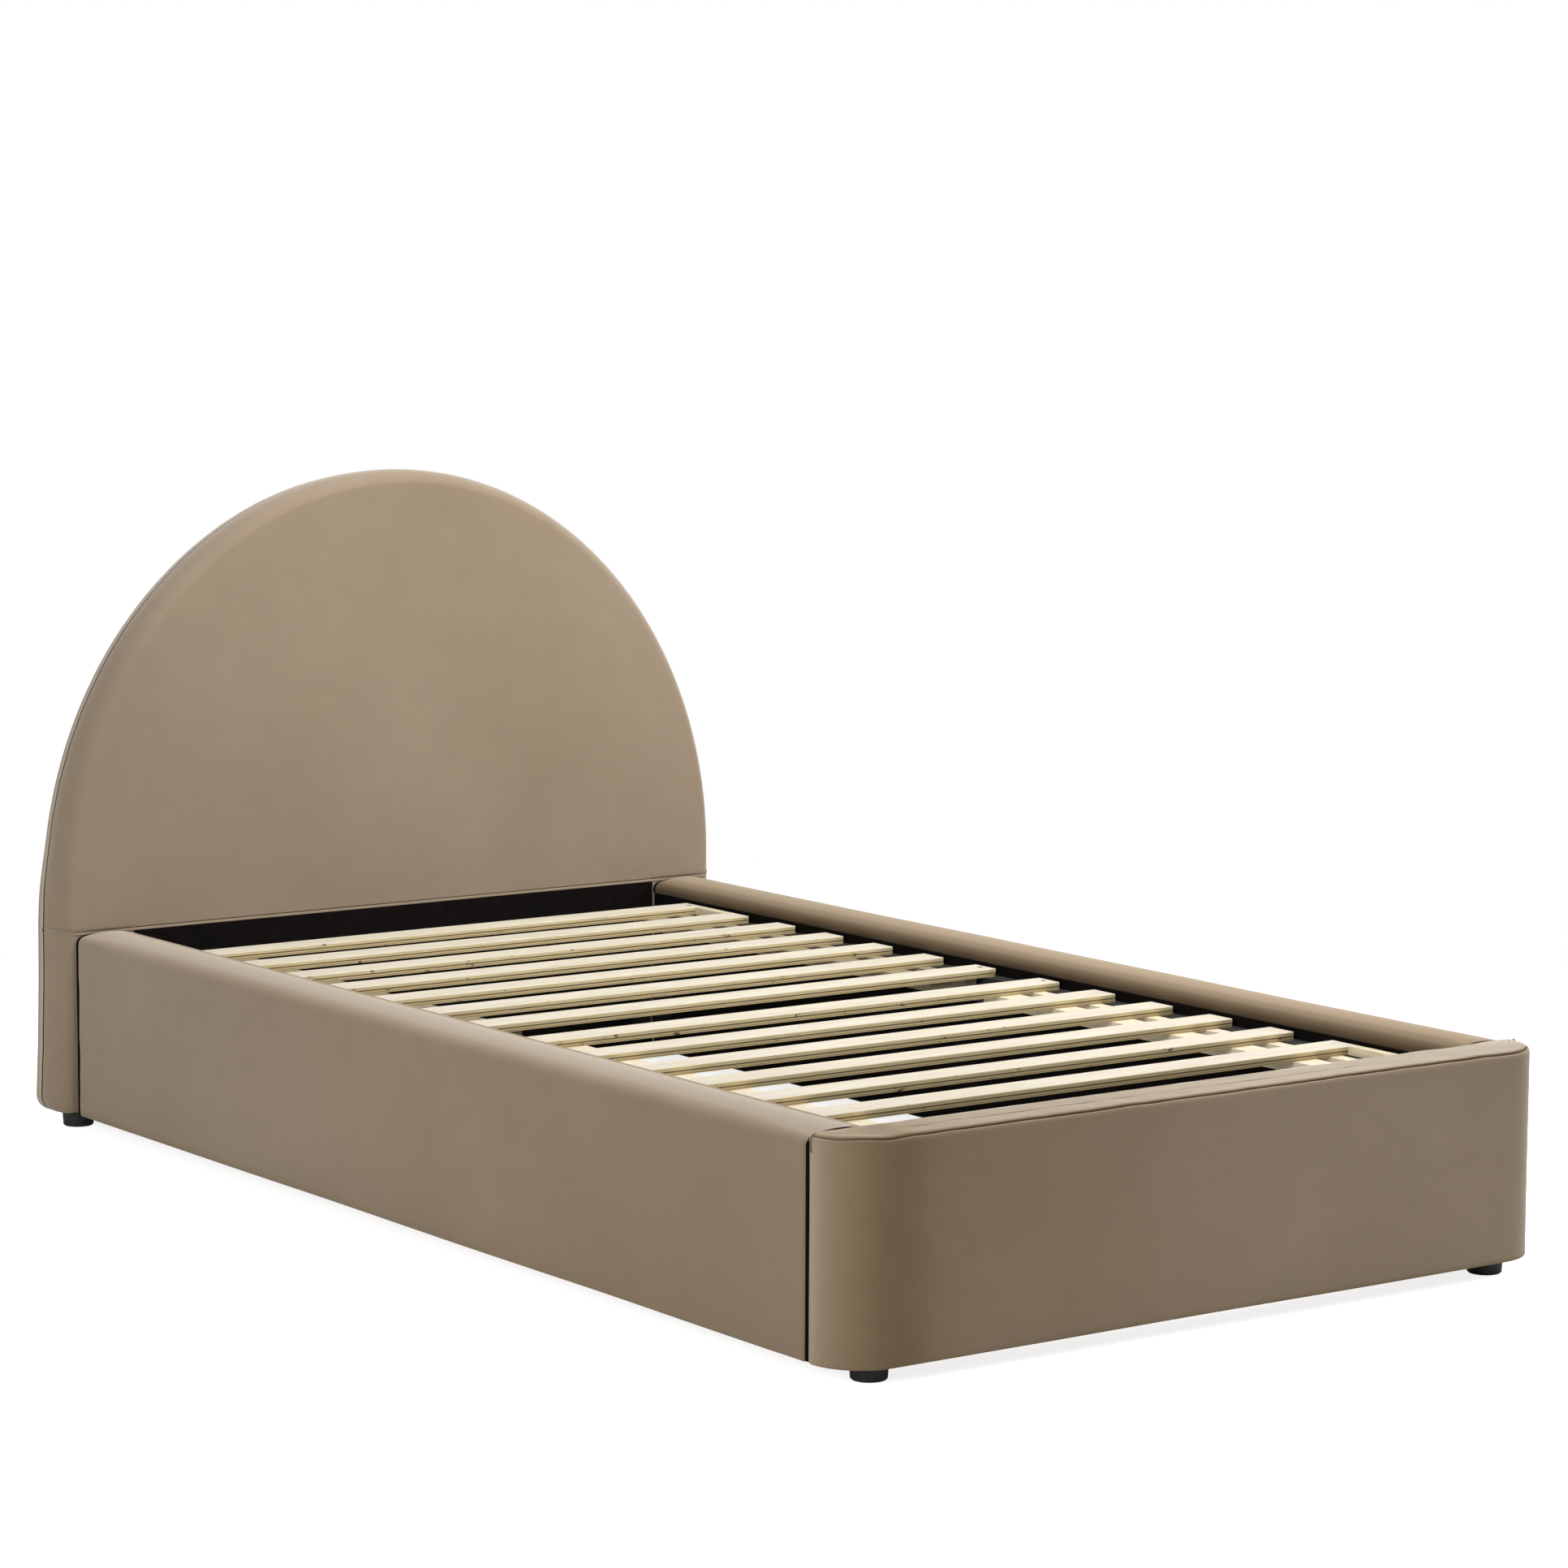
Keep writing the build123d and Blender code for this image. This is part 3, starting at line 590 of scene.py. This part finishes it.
def metal(name, dark, light):
    """Plated steel with faint rolling marks."""
    material, tree, shader = new_material(name)
    marks = noise_node(tree, coordinates(tree, rolling_stretch), rolling_scale, detail=3)
    tree.links.new(ramp(tree, marks, soft_step(dark, light)), shader.inputs["Base Color"])
    shader.inputs["Metallic"].default_value = 1.0
    shader.inputs["Roughness"].default_value = 0.38
    tree.links.new(bump(tree, marks, rolling_marks, 0.4), shader.inputs["Normal"])
    return material


velvet_taupe = velvet("velvet_taupe", (0.258, 0.196, 0.136), (0.282, 0.217, 0.154))
lining_black = lining_cloth()
plywood_birch = plywood()
batten_pine = timber("batten_pine", (0.62, 0.53, 0.37), (0.78, 0.7, 0.54), (10, 1, 10))
strip_pine = timber("strip_pine", (0.58, 0.49, 0.33), (0.74, 0.66, 0.49), (10, 1, 10))
# A darker copy of the battens' pine: painted shade for the head panel
batten_painted_shade = timber("batten_painted_shade", (0.2, 0.165, 0.11), (0.3, 0.25, 0.17), (10, 1, 10))
frame_pine = timber("frame_pine", (0.5, 0.36, 0.2), (0.7, 0.55, 0.36), (1, 8, 8))
ledger_black = timber("ledger_black", (0.01, 0.01, 0.01), (0.022, 0.02, 0.02), (8, 1, 8), rough=0.7)
hardboard_brown = timber("hardboard_brown", (0.16, 0.09, 0.05), (0.24, 0.15, 0.09), (4, 4, 4))
foot_plastic = moulded_plastic()
zinc_steel = metal("zinc_steel", (0.5, 0.5, 0.51), (0.66, 0.66, 0.67))
dark_steel = metal("dark_steel", (0.08, 0.075, 0.07), (0.15, 0.14, 0.13))


# Headboard

headboard_bottom_steps = 14
headboard_corner_steps = 8
headboard_side_steps = 10
headboard_spring_steps = 6
arch_steps = 160
roll_steps = 26
back_edge_steps = 6
middle_rise_share = 0.3
middle_shares = (
    0.985, 0.96, 0.93, 0.9, 0.86, 0.81, 0.75, 0.68, 0.6, 0.51, 0.42, 0.33, 0.24, 0.16, 0.09, 0.04,
)


def arch_ring(inset, bottom_inset, y):
    """One closed line round the headboard's front view, drawn in by the given insets."""
    half = headboard_half + arch_spread - inset
    rise = headboard_top + arch_lift - arch_spring - inset
    bottom = underside + bottom_inset
    corner = max(headboard_corner_radius - inset, smallest_radius)
    low_seam = rail_top - headboard_seam_margin
    points = run((0, bottom), (half - corner, bottom), headboard_bottom_steps)
    points += arc((half - corner, bottom + corner), corner, -90, 0, headboard_corner_steps)[1:]
    points += run((half, bottom + corner), (half, low_seam), headboard_side_steps)
    points += run((half, low_seam), (half, arch_spring), headboard_spring_steps)
    side = points[:-1]
    top = [
        (half * math.cos(math.pi * k / arch_steps), arch_spring + rise * math.sin(math.pi * k / arch_steps))
        for k in range(arch_steps + 1)
    ]
    mirrored = [(-x, z) for x, z in reversed(side)]
    ring = []
    for x, z in side + top + mirrored:
        fall = max(0, arch_spring - z) / (arch_spring - underside)
        ring.append(Vector((x * (1 + headboard_flare * fall ** 2 / headboard_half), y, z)))
    return ring


def taper_back(ring):
    """Draw the back of the arch in a little, along the arch's own normals."""
    drawn_in = []
    for point in ring:
        depth = (point.y - head_face - back_taper_start) / (headboard_back - head_face - back_taper_start)
        amount = back_taper * max(0, depth) * smooth_step((point.z - rail_top) / back_taper_rise)
        rise = max(0, point.z - arch_spring) / (headboard_top - arch_spring) ** 2
        outwards = Vector((point.x / headboard_half ** 2, 0, rise)).normalized()
        drawn_in.append(point - outwards * amount)
    return drawn_in


def front_rings():
    """Rings from the gusset seam round the padded front edge to the middle of the front."""
    edge_start = head_face + headboard_roll_depth
    rings = []
    for depth in (0, *seam_loops[:-1]):
        rings.append(taper_back(arch_ring(0, 0, gusset_seam - depth)))
    for k in range(roll_steps + 1):
        angle = math.pi / 2 * k / roll_steps
        inset = headboard_roll_inset * (1 - math.cos(angle))
        bottom_inset = headboard_bottom_radius * (1 - math.cos(angle))
        ring = arch_ring(inset, bottom_inset, edge_start - headboard_roll_depth * math.sin(angle))
        rings.append(taper_back(ring))
    return rings


def back_rings():
    """Rings from the gusset seam round the small back edge to the middle of the back."""
    edge_start = headboard_back - headboard_back_radius
    rings = []
    for depth in (0, *seam_loops):
        rings.append(taper_back(arch_ring(0, 0, gusset_seam + depth)))
    for k in range(back_edge_steps + 1):
        angle = math.pi / 2 * k / back_edge_steps
        inset = headboard_back_radius * (1 - math.cos(angle))
        ring = arch_ring(inset, inset, edge_start + headboard_back_radius * math.sin(angle))
        rings.append(taper_back(ring))
    return rings


def fill_middle(rings):
    """Add rings that shrink towards the middle of a flat face."""
    edge = rings[-1]
    centre = Vector((0, edge[0].y, rail_top + (headboard_top - rail_top) * middle_rise_share))
    for share in middle_shares:
        rings.append([centre + (point - centre) * share for point in edge])
    return rings


def gusset_painted_shade(place):
    """Painted shade in the seam that runs round the arch near its back edge."""
    return min(1, gusset_shade * max(0, 1 - abs(place.y - gusset_seam) / gusset_line))


def gusset_highlight(place):
    """Painted highlight on the narrow strip behind that seam, where it catches the light."""
    strip = gusset_seam + gusset_line < place.y < headboard_back - headboard_back_radius
    return gusset_highlight_share if strip else 0


def sink_headboard(place, normal):
    """Seam grooves, soft waves of the cloth and room for the lining."""
    depth = seam_depth * groove(place.y - gusset_seam)
    if place.y < gusset_seam - seam_width:
        depth += seam_depth * flat_seam_share * groove((place.z - rail_top) / flat_seam_share)
    gather = math.exp(-abs(place.y - gusset_seam) / gusset_gather_reach)
    height = wave_height(place, gusset_gather) * gather + wave_height(place, headboard_swell)
    return normal * (height - depth - headboard_sink)


def sink_lower(place, normal):
    """The lower cover does the same, and steps back behind the lining between the rails."""
    if abs(place.x) < inner_half + lining_overlap and place.y < head_face + headboard_bottom_radius:
        return Vector((0, lining_step, 0))
    return sink_headboard(place, normal)


def make_headboard():
    """Front and lower covers, cut apart at the horizontal seam, and the back cover."""
    seam = (0, 0, rail_top)
    for name, keep, nodes in (
        ("headboard_front_padding", "front", ("headboard_front_cover", "headboard_foam")),
        ("headboard_lower_padding", "behind", ("headboard_lower_cover",)),
    ):
        shape = skin(fill_middle(front_rings()), cap_last=True)
        slice_seam(shape, seam, (0, 0, 1))
        slice_at(shape, seam, (0, 0, 1), keep)
        if keep == "behind":
            for side in (LEFT, RIGHT):
                slice_at(shape, (side * inner_half, 0, 0), (1, 0, 0))
                slice_at(shape, (side * (inner_half + corner_loop), 0, 0), (1, 0, 0))
        mark_shades(shape, gusset_painted_shade)
        reshape(shape, sink_lower if keep == "behind" else sink_headboard)
        turn_in(shape)
        dress(finish_mesh(shape, name), velvet_taupe, *nodes)

    shape = skin(fill_middle(back_rings()), cap_last=True)
    mark_shades(shape, gusset_painted_shade, gusset_highlight)
    reshape(shape, sink_headboard)
    turn_in(shape)
    dress(finish_mesh(shape, "headboard_back_padding"), velvet_taupe, "headboard_back_cover")


# Side rails

shoulder_inset_share = 0.6
bottom_inset_share = 0.5
hem_steps = 4
inner_face_steps = 3
round_steps = 8
crown_steps = 14
outer_face_steps = 26
low_round_steps = 5
underside_steps = 8
behind_lining_steps = 6
rail_end_steps = 7
rail_steps = 110


def rail_section(inset, outer_shoulder):
    """Closed section of a rail as (distance from the inner face, height), drawn in by inset."""
    inner = inset
    outer = rail_width - inset
    top = rail_top - inset
    inner_round = rail_inner_shoulder - inset * shoulder_inset_share
    outer_round = outer_shoulder - inset * shoulder_inset_share
    low = rail_bottom_radius
    bottom = underside + inset * bottom_inset_share
    crown_radius = (rail_width ** 2 / 4 + rail_crown ** 2) / (2 * rail_crown)
    crown_centre = (rail_width / 2, top - crown_radius)
    behind = inner + lining_step

    def shoulder_centre(radius):
        """Height of a shoulder's centre, and the angle where it meets the crown."""
        reach = crown_radius - radius
        across = rail_width / 2 - inset - radius
        height = top - crown_radius + math.sqrt(reach ** 2 - across ** 2)
        return height, math.degrees(math.asin(across / reach))

    inner_height, inner_turn = shoulder_centre(inner_round)
    outer_height, outer_turn = shoulder_centre(outer_round)

    points = arc((inner + hem_radius, fabric_edge + hem_radius), hem_radius, 270, 180, hem_steps)
    points += run((inner, fabric_edge + hem_radius), (inner, inner_height), inner_face_steps)
    points += arc((inner + inner_round, inner_height), inner_round, 180, 90 + inner_turn, round_steps)[1:]
    points += arc(crown_centre, crown_radius, 90 + inner_turn, 90 - outer_turn, crown_steps)[1:]
    points += arc((outer - outer_round, outer_height), outer_round, 90 - outer_turn, 0, round_steps)[1:]
    points += run((outer, outer_height), (outer, bottom + low), outer_face_steps)
    points += arc((outer - low, bottom + low), low, 0, -90, low_round_steps)[1:]
    points += run((outer - low, bottom), (inner, bottom), underside_steps)
    points += [(inner, bottom + rail_hem_rise), (behind, bottom + rail_hem_top)]
    points += run(points[-1], (behind, fabric_edge - lining_edge_room), behind_lining_steps)
    return points


def rail_stations():
    """Places along a rail with the section's inset there, closer together at the soft ends."""
    ends = []
    for k in range(rail_end_steps + 1):
        angle = math.pi / 2 * k / rail_end_steps
        ends.append((rail_end_turn * (1 - math.cos(angle)), rail_end_turn * (1 - math.sin(angle))))
    first = [(foot_face + rail_foot_gap + along, inset) for along, inset in ends]
    last = [(head_face - rail_end_gap - along, inset) for along, inset in reversed(ends)]
    span = last[0][0] - first[-1][0]
    middle = [(first[-1][0] + span * k / rail_steps, 0) for k in range(1, rail_steps)]
    return first + middle + last


def make_rail_end_shadows(side, name):
    """A black sheet in the gap at each rail end: painted shadow that shows as a dark line beside the next
    piece.
    """
    for end, start, stop in (
        ("foot", foot_face + rail_foot_gap, foot_face),
        ("head", head_face - rail_end_gap, head_face),
    ):
        rings = []
        for y in (start, stop):
            section = rail_section(end_shadow_inset, rail_end_shoulder)
            rings.append([Vector((side * (inner_half + u), y, z)) for u, z in section])
        piece = finish_mesh(skin(rings, cap_last=True), f"{name}_rail_{end}_painted_shadow")
        piece.data.materials.append(lining_black)
        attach(piece, "frame")


def rail_painted_shade(place):
    """Painted shade: on the turned-down inner face, deepest at the lining's edge; all over the far rail; and
    on the near rail's sides, growing towards the foot.
    """
    depth = abs(place.x) - inner_half
    height = (place.z - fabric_edge) / (rail_top - fabric_edge)
    along = smooth_step((head_face - place.y) / (head_face - foot_face))
    shade = far_rail_shade_share if place.x > 0 else rail_foot_shade_share * along * (1 - at_top(place.z))
    if depth > 2 * rail_inner_shoulder or height > 1:
        return shade
    return max(shade, inner_face_shade_share * (1 - max(0, height)) ** inner_face_falloff)


def at_top(height):
    """Share of a rail's crown, from 0 on its sides to 1 on its top."""
    return min(1, max(0, (height - rail_top + crown_start) / crown_run))


def make_rail(side, name):
    """One padded side rail with its cloth turned in over the lining's top edge."""
    rings = []
    for y, inset in rail_stations():
        softness = smooth_step(min(y - foot_face, head_face - y) / rail_soft_run)
        shoulder = rail_end_shoulder + (rail_soft_shoulder - rail_end_shoulder) * softness
        section = rail_section(inset, shoulder)
        if y < foot_face + rail_soft_run:
            full = rail_section(0, shoulder)
            section = [
                (u + (full_u - u) * at_top(full_z), z + (full_z - z) * at_top(full_z))
                for (u, z), (full_u, full_z) in zip(section, full)
            ]
        rings.append([Vector((side * (inner_half + u), y, z)) for u, z in section])
    shape = skin(rings, cap_first=True, cap_last=True)

    def relax(place, normal):
        """Soft waves, stronger near the ends where the cloth is gathered."""
        depth = abs(place.x) - inner_half
        if depth < lining_step + lining_edge_room and place.z < fabric_edge:
            return Vector((0, 0, 0))
        end_distance = min(place.y - foot_face, head_face - place.y)
        gather = math.exp(-end_distance / rail_gather_reach)
        height = wave_height(place, rail_swell, side) + wave_height(place, rail_gather, side) * gather
        change = normal * (height - rail_sink)
        near_foot = max(0, 1 - (place.y - foot_face - rail_foot_gap) / rail_push_run)
        change.y -= (rail_foot_gap - rail_top_gap) * near_foot * at_top(place.z)
        return change

    mark_shades(shape, rail_painted_shade)
    reshape(shape, relax)
    dress(finish_mesh(shape, f"{name}_rail_padding"), velvet_taupe, f"{name}_rail_cover", f"{name}_rail_foam")
    make_rail_end_shadows(side, name)


# Footboard

front_steps = 60
corner_steps = 22
end_face_steps = 2
end_round_steps = 6
end_back_steps = 8
loop_steps = 2
back_steps = 40
footboard_edge_steps = 6
footboard_top_steps = 12
footboard_side_steps = 22


def footboard_ring(inset, z):
    """One closed line round the footboard's plan, drawn in by inset."""
    half = rail_outer - inset
    front = foot_front + inset
    back = foot_face - inset
    back_radius = max(footboard_end_radius - inset, smallest_radius / 2)
    front_radius = min(footboard_corner_radius - inset, back - front - back_radius)
    points = run((0, front), (half - front_radius, front), front_steps)
    points += arc((half - front_radius, front + front_radius), front_radius, -90, 0, corner_steps)[1:]
    points += run((half, front + front_radius), (half, back - back_radius), end_face_steps)
    points += arc((half - back_radius, back - back_radius), back_radius, 0, 90, end_round_steps)[1:]
    points += run((half - back_radius, back), (inner_half + corner_loop, back), end_back_steps)
    points += run((inner_half + corner_loop, back), (inner_half - corner_loop, back), loop_steps)
    points += run((inner_half - corner_loop, back), (0, back), back_steps)
    mirrored = [(-x, y) for x, y in reversed(points[:-1])]
    outline = points + mirrored + [(0, front)]
    return [Vector((x, y, z)) for x, y in outline]


def footboard_rings():
    """Rings from the underside up the sides and over the top."""
    rings = [footboard_ring(inset, underside) for inset in footboard_bottom_insets]
    for k in range(footboard_edge_steps + 1):
        angle = math.pi / 2 * k / footboard_edge_steps
        inset = footboard_bottom_radius * (1 - math.sin(angle))
        rings.append(footboard_ring(inset, underside + footboard_bottom_radius * (1 - math.cos(angle))))
    low = underside + footboard_bottom_radius
    high = rail_top - footboard_top_radius
    for k in range(1, footboard_side_steps):
        rings.append(footboard_ring(0, low + (high - low) * k / footboard_side_steps))
    for k in range(footboard_top_steps + 1):
        angle = math.pi / 2 * k / footboard_top_steps
        inset = footboard_top_radius * (1 - math.cos(angle))
        rings.append(footboard_ring(inset, high + footboard_top_radius * math.sin(angle)))
    for inset in footboard_top_insets:
        rings.append(footboard_ring(inset, rail_top))
    return rings


def band_seam_distance(place):
    """Distance from the seam that joins the top band to the cover below it."""
    if place.y < strip_seam:
        return abs(place.z - band_seam + wave_height(place, band_wander))
    if abs(place.x) > rail_outer - strip_seam_reach:
        return footboard_end_radius
    if place.z > fabric_edge:
        return abs(place.y - strip_seam)
    return fabric_edge - place.z


def in_band(place):
    """True on the top band, which also wraps down the back."""
    return place.z > band_seam or (place.y > strip_seam and place.z > fabric_edge)


def relax_footboard(place, normal):
    """Seam groove, soft waves, small gathers along the seam and room for the lining."""
    window = abs(place.x) < inner_half and foot_lining_bottom < place.z < fabric_edge
    if window and place.y > foot_face - footboard_back_reach:
        return Vector((0, -lining_step, 0))
    depth = seam_depth * groove(band_seam_distance(place))
    seam_distance = abs(place.z - band_seam)
    height = wave_height(place, band_gather) * math.exp(-seam_distance / band_gather_reach)
    height += wave_height(place, footboard_swell)
    change = normal * (height - depth - footboard_sink)
    if place.y < strip_seam:
        sideways = math.exp(-abs(abs(place.x) - rail_outer) / band_corner_reach)
        pull = wave_height(place, band_pull) * (1 + band_corner_pull_share * sideways)
        change.z += pull * math.exp(-seam_distance / band_pull_reach)
    return change


def footboard_painted_shade(place):
    """Painted shade: in the band's seam, near the left corner where it faces the viewer, and across the
    front, growing towards the left.
    """
    turned = math.exp(-((place.x + rail_outer - corner_shade_place) / corner_shade_width) ** 2)
    across = smooth_step((rail_outer - place.x) / (2 * rail_outer))
    seam = band_shade_share * groove(band_seam_distance(place))
    return max(seam, front_shade_share * across + corner_shade_share * turned)


def end_highlight(place):
    """Painted highlight on the ends next to the rails."""
    if abs(place.x) < rail_outer - footboard_corner_radius:
        return 0
    return end_highlight_share * math.exp(-max(0, foot_face - place.y) / end_highlight_reach)


def keep_faces(shape, wanted):
    """Delete every face whose middle isn't wanted."""
    extra = [face for face in shape.faces if not wanted(face.calc_center_median())]
    bmesh.ops.delete(shape, geom=extra, context="FACES")


def make_footboard():
    """Cover and top band of the footboard, sewn along the front top edge."""
    for name, wanted, nodes in (
        ("footboard_padding", lambda place: not in_band(place), ("footboard_cover", "footboard_foam")),
        ("footboard_band_padding", in_band, ("footboard_top_band",)),
    ):
        shape = skin(footboard_rings(), cap_first=True, cap_last=True)
        slice_seam(shape, (0, strip_seam, 0), (0, 1, 0))
        slice_seam(shape, (0, 0, fabric_edge), (0, 0, 1))
        slice_at(shape, (0, 0, band_seam), (0, 0, 1))
        for offset in band_seam_loops:
            slice_at(shape, (0, 0, band_seam + offset), (0, 0, 1))
        slice_at(shape, (0, 0, foot_lining_bottom), (0, 0, 1))
        keep_faces(shape, wanted)
        mark_shades(shape, footboard_painted_shade, end_highlight)
        reshape(shape, relax_footboard)
        turn_in(shape)
        dress(finish_mesh(shape, name), velvet_taupe, *nodes)


make_headboard()
make_rail(LEFT, "left")
make_rail(RIGHT, "right")
make_footboard()


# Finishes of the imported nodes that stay

finish_of_slot = {
    "lining": lining_black,
    "pine": frame_pine,
    "hardboard": hardboard_brown,
    "black_timber": ledger_black,
    "plywood": plywood_birch,
    "batten_wood": batten_pine,
    "foot_plastic": foot_plastic,
    "zinc_steel": zinc_steel,
    "dark_steel": dark_steel,
    "velvet": velvet_taupe,
}
slot_of_node = {entry["node"]: entry["material_slot"] for entry in frame["record"]["subparts"]}
for node, piece in frame["nodes"].items():
    finish = finish_of_slot.get(slot_of_node[node])
    if finish is None:
        continue
    if node.endswith("end_strips"):
        finish = strip_pine
    # Painted shade: the head panel's battens get the darker copy of the pine
    if node == "head_panel_battens":
        finish = batten_painted_shade
    for index in range(len(piece.material_slots)):
        piece.material_slots[index].material = finish


# Floor, light and camera

floor_size = 60.0
floor_grey = (0.82, 0.82, 0.82, 1)
floor_glow = 0.8
floor_fade_start = 1.5
floor_fade_end = 2.6


def make_floor():
    """A pale floor that keeps the shadow and looks white to the camera."""
    bpy.ops.mesh.primitive_plane_add(size=floor_size, location=(0, 0, 0))
    floor = bpy.context.object
    floor.name = "studio_floor"
    material, tree, shader = new_material("studio_floor")
    shader.inputs["Base Color"].default_value = floor_grey
    shader.inputs["Roughness"].default_value = 0.9
    shader.inputs["Specular IOR Level"].default_value = 0.1
    glow = tree.nodes.new("ShaderNodeEmission")
    glow.inputs["Strength"].default_value = floor_glow
    white = tree.nodes.new("ShaderNodeEmission")
    white.inputs["Strength"].default_value = 1.0
    path = tree.nodes.new("ShaderNodeLightPath")
    total = tree.nodes.new("ShaderNodeAddShader")
    near = tree.nodes.new("ShaderNodeMixShader")
    mix = tree.nodes.new("ShaderNodeMixShader")
    output = tree.nodes["Material Output"]

    # Beyond the shadow the floor turns into the plain white background
    source = tree.nodes.new("ShaderNodeTexCoord")
    away = tree.nodes.new("ShaderNodeVectorMath")
    away.operation = "LENGTH"
    tree.links.new(source.outputs["Object"], away.inputs[0])
    fade = tree.nodes.new("ShaderNodeMapRange")
    fade.interpolation_type = "SMOOTHSTEP"
    fade.inputs["From Min"].default_value = floor_fade_start
    fade.inputs["From Max"].default_value = floor_fade_end
    tree.links.new(away.outputs["Value"], fade.inputs["Value"])
    tree.links.new(shader.outputs["BSDF"], total.inputs[0])
    tree.links.new(glow.outputs["Emission"], total.inputs[1])
    tree.links.new(fade.outputs["Result"], near.inputs["Fac"])
    tree.links.new(total.outputs["Shader"], near.inputs[1])
    tree.links.new(white.outputs["Emission"], near.inputs[2])
    tree.links.new(path.outputs["Is Camera Ray"], mix.inputs["Fac"])
    tree.links.new(shader.outputs["BSDF"], mix.inputs[1])
    tree.links.new(near.outputs["Shader"], mix.inputs[2])
    tree.links.new(mix.outputs["Shader"], output.inputs["Surface"])
    floor.data.materials.append(material)


world_light = 0.36
plain_white = (1, 1, 1, 1)


def make_world():
    """Soft white surroundings: full white to the camera, dimmer as light."""
    world = bpy.data.worlds.new("studio")
    bpy.context.scene.world = world
    world.use_nodes = True
    tree = world.node_tree
    light = tree.nodes["Background"]
    light.inputs["Color"].default_value = plain_white
    light.inputs["Strength"].default_value = world_light
    seen = tree.nodes.new("ShaderNodeBackground")
    seen.inputs["Color"].default_value = plain_white
    path = tree.nodes.new("ShaderNodeLightPath")
    mix = tree.nodes.new("ShaderNodeMixShader")
    tree.links.new(path.outputs["Is Camera Ray"], mix.inputs["Fac"])
    tree.links.new(light.outputs["Background"], mix.inputs[1])
    tree.links.new(seen.outputs["Background"], mix.inputs[2])
    tree.links.new(mix.outputs["Shader"], tree.nodes["World Output"].inputs["Surface"])


# Lamps: where each stands, where it points, its size in metres and its power in watts
soft_boxes = {
    "top_box": ((0.2, 0.0, 3.2), (0.0, 0.0, 0.0), 2.6, 46),
    "head_key": ((0.8, -0.7, 2.4), (0.1, 0.98, 0.75), 1.2, 39),
    "left_box": ((-6.4, -2.6, 2.6), (0.0, 0.0, 0.3), 2.4, 190),
    "right_box": ((3.6, -2.4, 2.2), (0.4, 0.5, 0.5), 1.4, 50),
}


def area_light(name, place, target, size, power):
    """A square soft box at place, turned towards target."""
    data = bpy.data.lights.new(name, "AREA")
    data.shape = "SQUARE"
    data.size = size
    data.energy = power
    lamp = bpy.data.objects.new(name, data)
    bpy.context.collection.objects.link(lamp)
    lamp.location = place
    lamp.rotation_euler = (Vector(target) - Vector(place)).to_track_quat("-Z", "Y").to_euler()


# The camera, solved from straight edges of the photograph
camera_place = (-3.9107, -5.5574, 1.4213)
camera_azimuth = 35.5865
camera_drop = 6.8489
camera_roll = 0.23
camera_lens = 107.6893
camera_sensor = 36.0
camera_far_end = 100.0


def make_camera():
    """The photograph's view."""
    data = bpy.data.cameras.new("photo_view")
    data.sensor_width = camera_sensor
    data.lens = camera_lens
    data.clip_end = camera_far_end
    camera = bpy.data.objects.new("photo_view", data)
    bpy.context.collection.objects.link(camera)
    camera.location = camera_place
    turn = Euler((math.radians(90 - camera_drop), 0, math.radians(-camera_azimuth)), "XYZ").to_quaternion()
    roll = Euler((0, 0, math.radians(camera_roll)), "XYZ").to_quaternion()
    camera.rotation_euler = (turn @ roll).to_euler()
    bpy.context.scene.camera = camera


make_floor()
make_world()
for name, settings in soft_boxes.items():
    area_light(name, *settings)
make_camera()
bpy.context.scene.view_settings.view_transform = "Standard"
